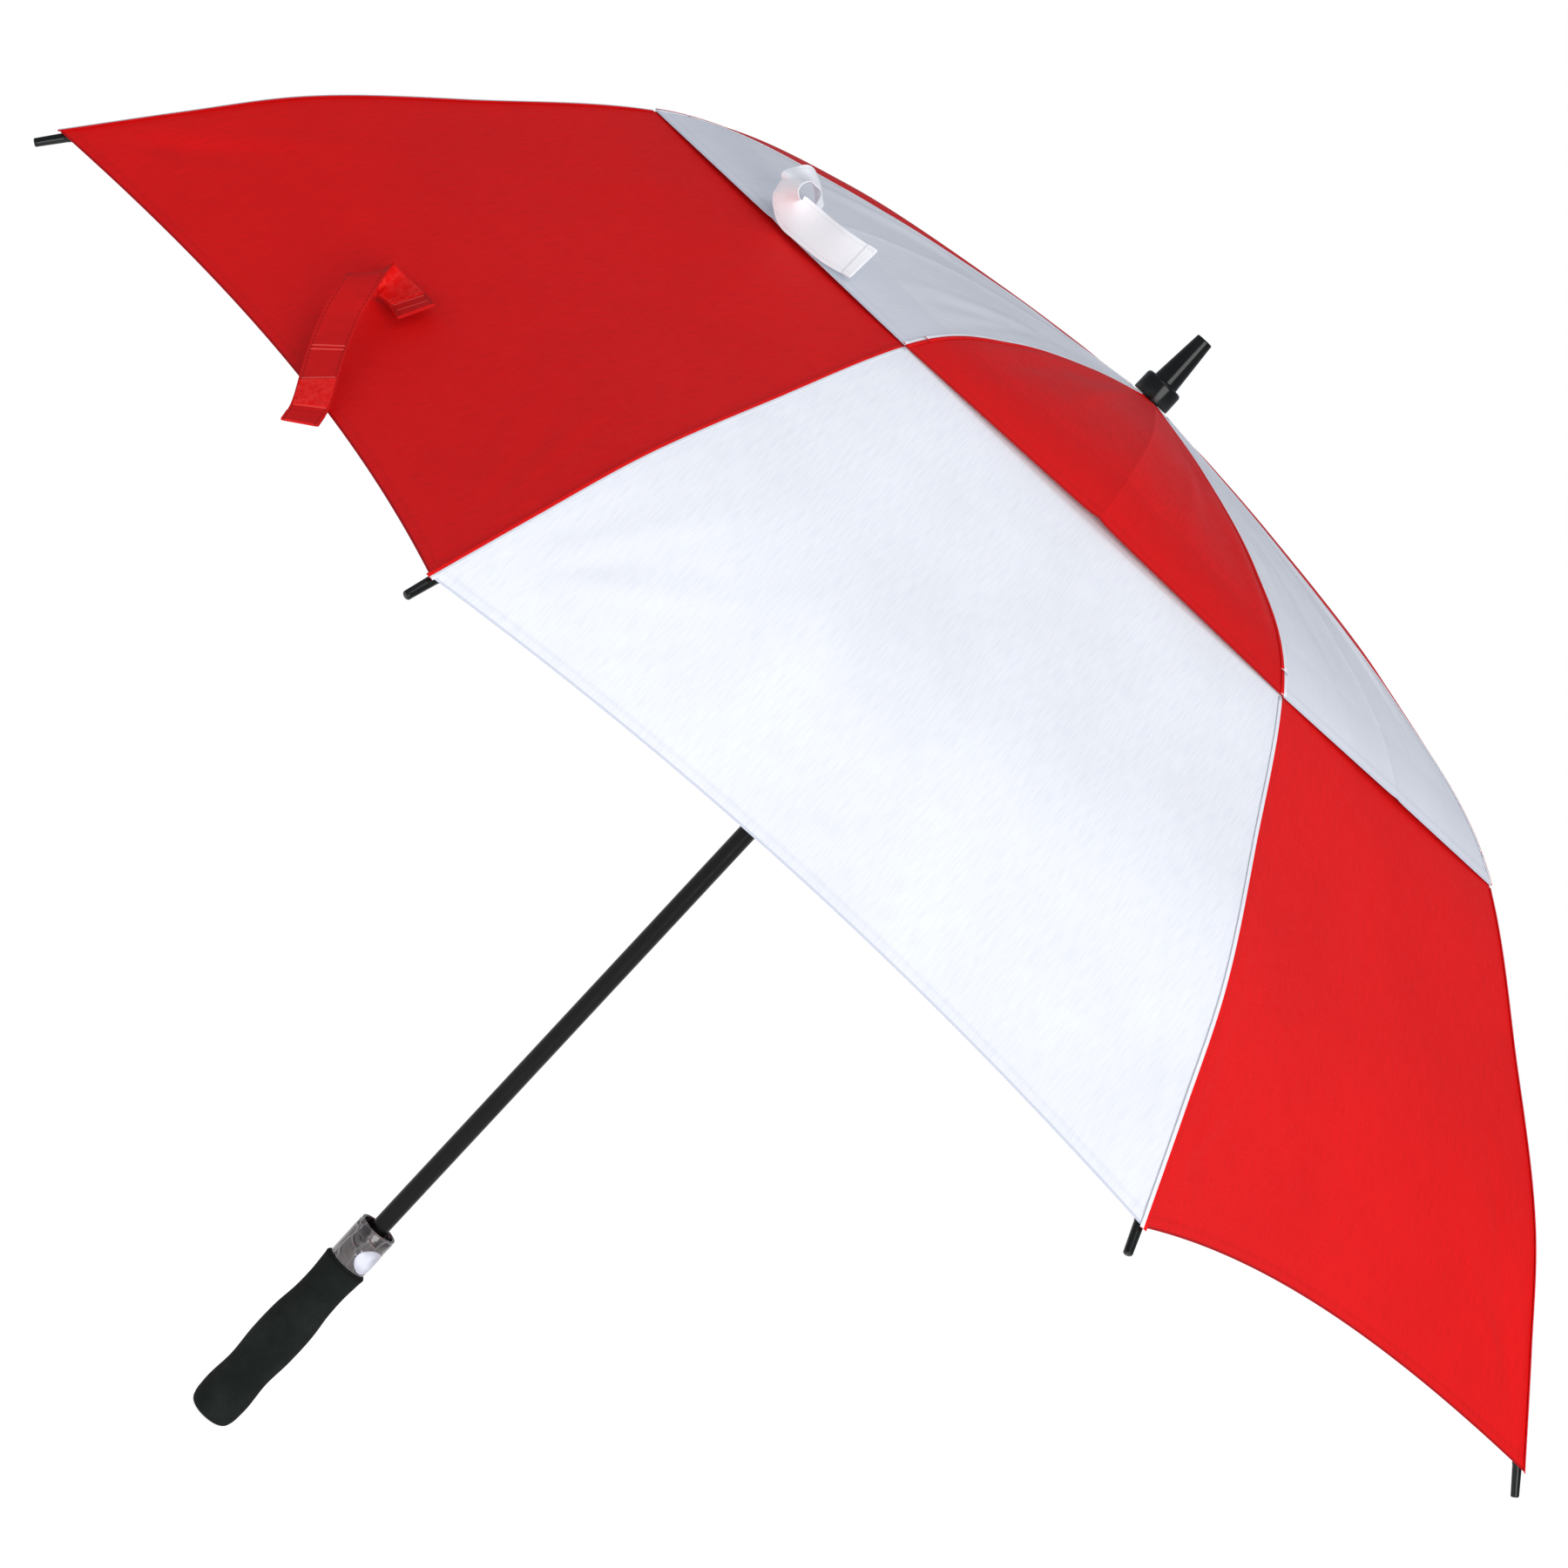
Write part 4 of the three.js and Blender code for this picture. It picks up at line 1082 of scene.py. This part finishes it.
def cad_looks():
    """The hubs, the wires, the spring, the inner ribs and the stretchers."""
    for name in ("crown", "runner"):
        finish_node(name, "black_plastic", 0.2 * MM)
    for name in ("crown_wire", "runner_wire", "button_spring"):
        finish_node(name, "steel_wire", 0.02 * MM)
    for number in range(1, RIBS + 1):
        finish_node(f"rib_inner_{number}", "black_fibreglass", 0.12 * MM)
        finish_node(f"stretcher_{number}", "black_fibreglass", 0.2 * MM)


# ---- Room, light and camera ----


def stage_floor():
    mesh = bpy.data.meshes.new("floor")
    reach = 14.0
    corners = [(-reach, -reach, 0), (reach, -reach, 0), (reach, reach, 0), (-reach, reach, 0)]
    mesh.from_pydata(corners, [], [(0, 1, 2, 3)])
    floor = Shader("floor", Base_Color=(0.3, 0.3, 0.3, 1), Roughness=0.95,
                   Specular_IOR_Level=0.0, Emission_Color=(1, 1, 1, 1), Emission_Strength=0.92)
    mesh.materials.append(floor.material)
    obj = bpy.data.objects.new("floor", mesh)
    bpy.context.scene.collection.objects.link(obj)
    obj.location.z = -1 * MM


def world_light(strength):
    """Even light from all sides, in front of a pure white backdrop."""
    world = bpy.data.worlds.new("studio")
    world.use_nodes = True
    bpy.context.scene.world = world
    tree = world.node_tree
    light = tree.nodes["Background"]
    light.inputs["Color"].default_value = (0.90, 0.96, 1.10, 1)
    light.inputs["Strength"].default_value = strength
    seen = tree.nodes.new("ShaderNodeBackground")
    seen.inputs["Color"].default_value = (1, 1, 1, 1)
    seen.inputs["Strength"].default_value = 1.0
    path = tree.nodes.new("ShaderNodeLightPath")
    mix = tree.nodes.new("ShaderNodeMixShader")
    tree.links.new(path.outputs["Is Camera Ray"], mix.inputs[0])
    tree.links.new(light.outputs[0], mix.inputs[1])
    tree.links.new(seen.outputs[0], mix.inputs[2])
    tree.links.new(mix.outputs[0], tree.nodes["World Output"].inputs[0])


def softbox(name, azimuth, elevation, distance, size, power):
    """A round area light that faces the canopy's middle."""
    light = bpy.data.lights.new(name, "AREA")
    light.shape = "DISK"
    light.size = size
    light.energy = power
    light.color = (1.0, 0.985, 0.965)
    obj = bpy.data.objects.new(name, light)
    a, e = math.radians(azimuth), math.radians(elevation)
    away = Vector((math.cos(e) * math.cos(a), math.cos(e) * math.sin(a), math.sin(e)))
    obj.location = Vector((0, 0, 0.6)) + away * distance
    obj.rotation_euler = away.to_track_quat("Z", "Y").to_euler()
    bpy.context.scene.collection.objects.link(obj)


def camera():
    """The photograph's view, fitted to it: from the canopy's side, rolled about the view."""
    data = bpy.data.cameras.new("camera")
    data.sensor_width = 36.0
    data.lens = 89.29
    obj = bpy.data.objects.new("camera", data)
    right = Vector((-0.68981, 0.25736, 0.67671))
    down = Vector((-0.57415, 0.37495, -0.72785))
    forward = Vector((-0.44105, -0.89061, -0.11088))
    turned = Matrix((right, -down, -forward)).transposed().to_4x4()
    obj.matrix_world = Matrix.Translation((1.15245, 2.31776, 0.87766)) @ turned
    bpy.context.scene.collection.objects.link(obj)
    bpy.context.scene.camera = obj


camera()
stage_floor()
world_light(0.385)
softbox("key", 88, 12, 3.4, 2.2, 62)
softbox("top", 68, 66, 3.0, 2.0, 15)
bpy.context.scene.view_settings.view_transform = "Standard"
canopy()
ribs()
ferrule()
shaft()
grip()
collar()
button()
straps()
cad_looks()
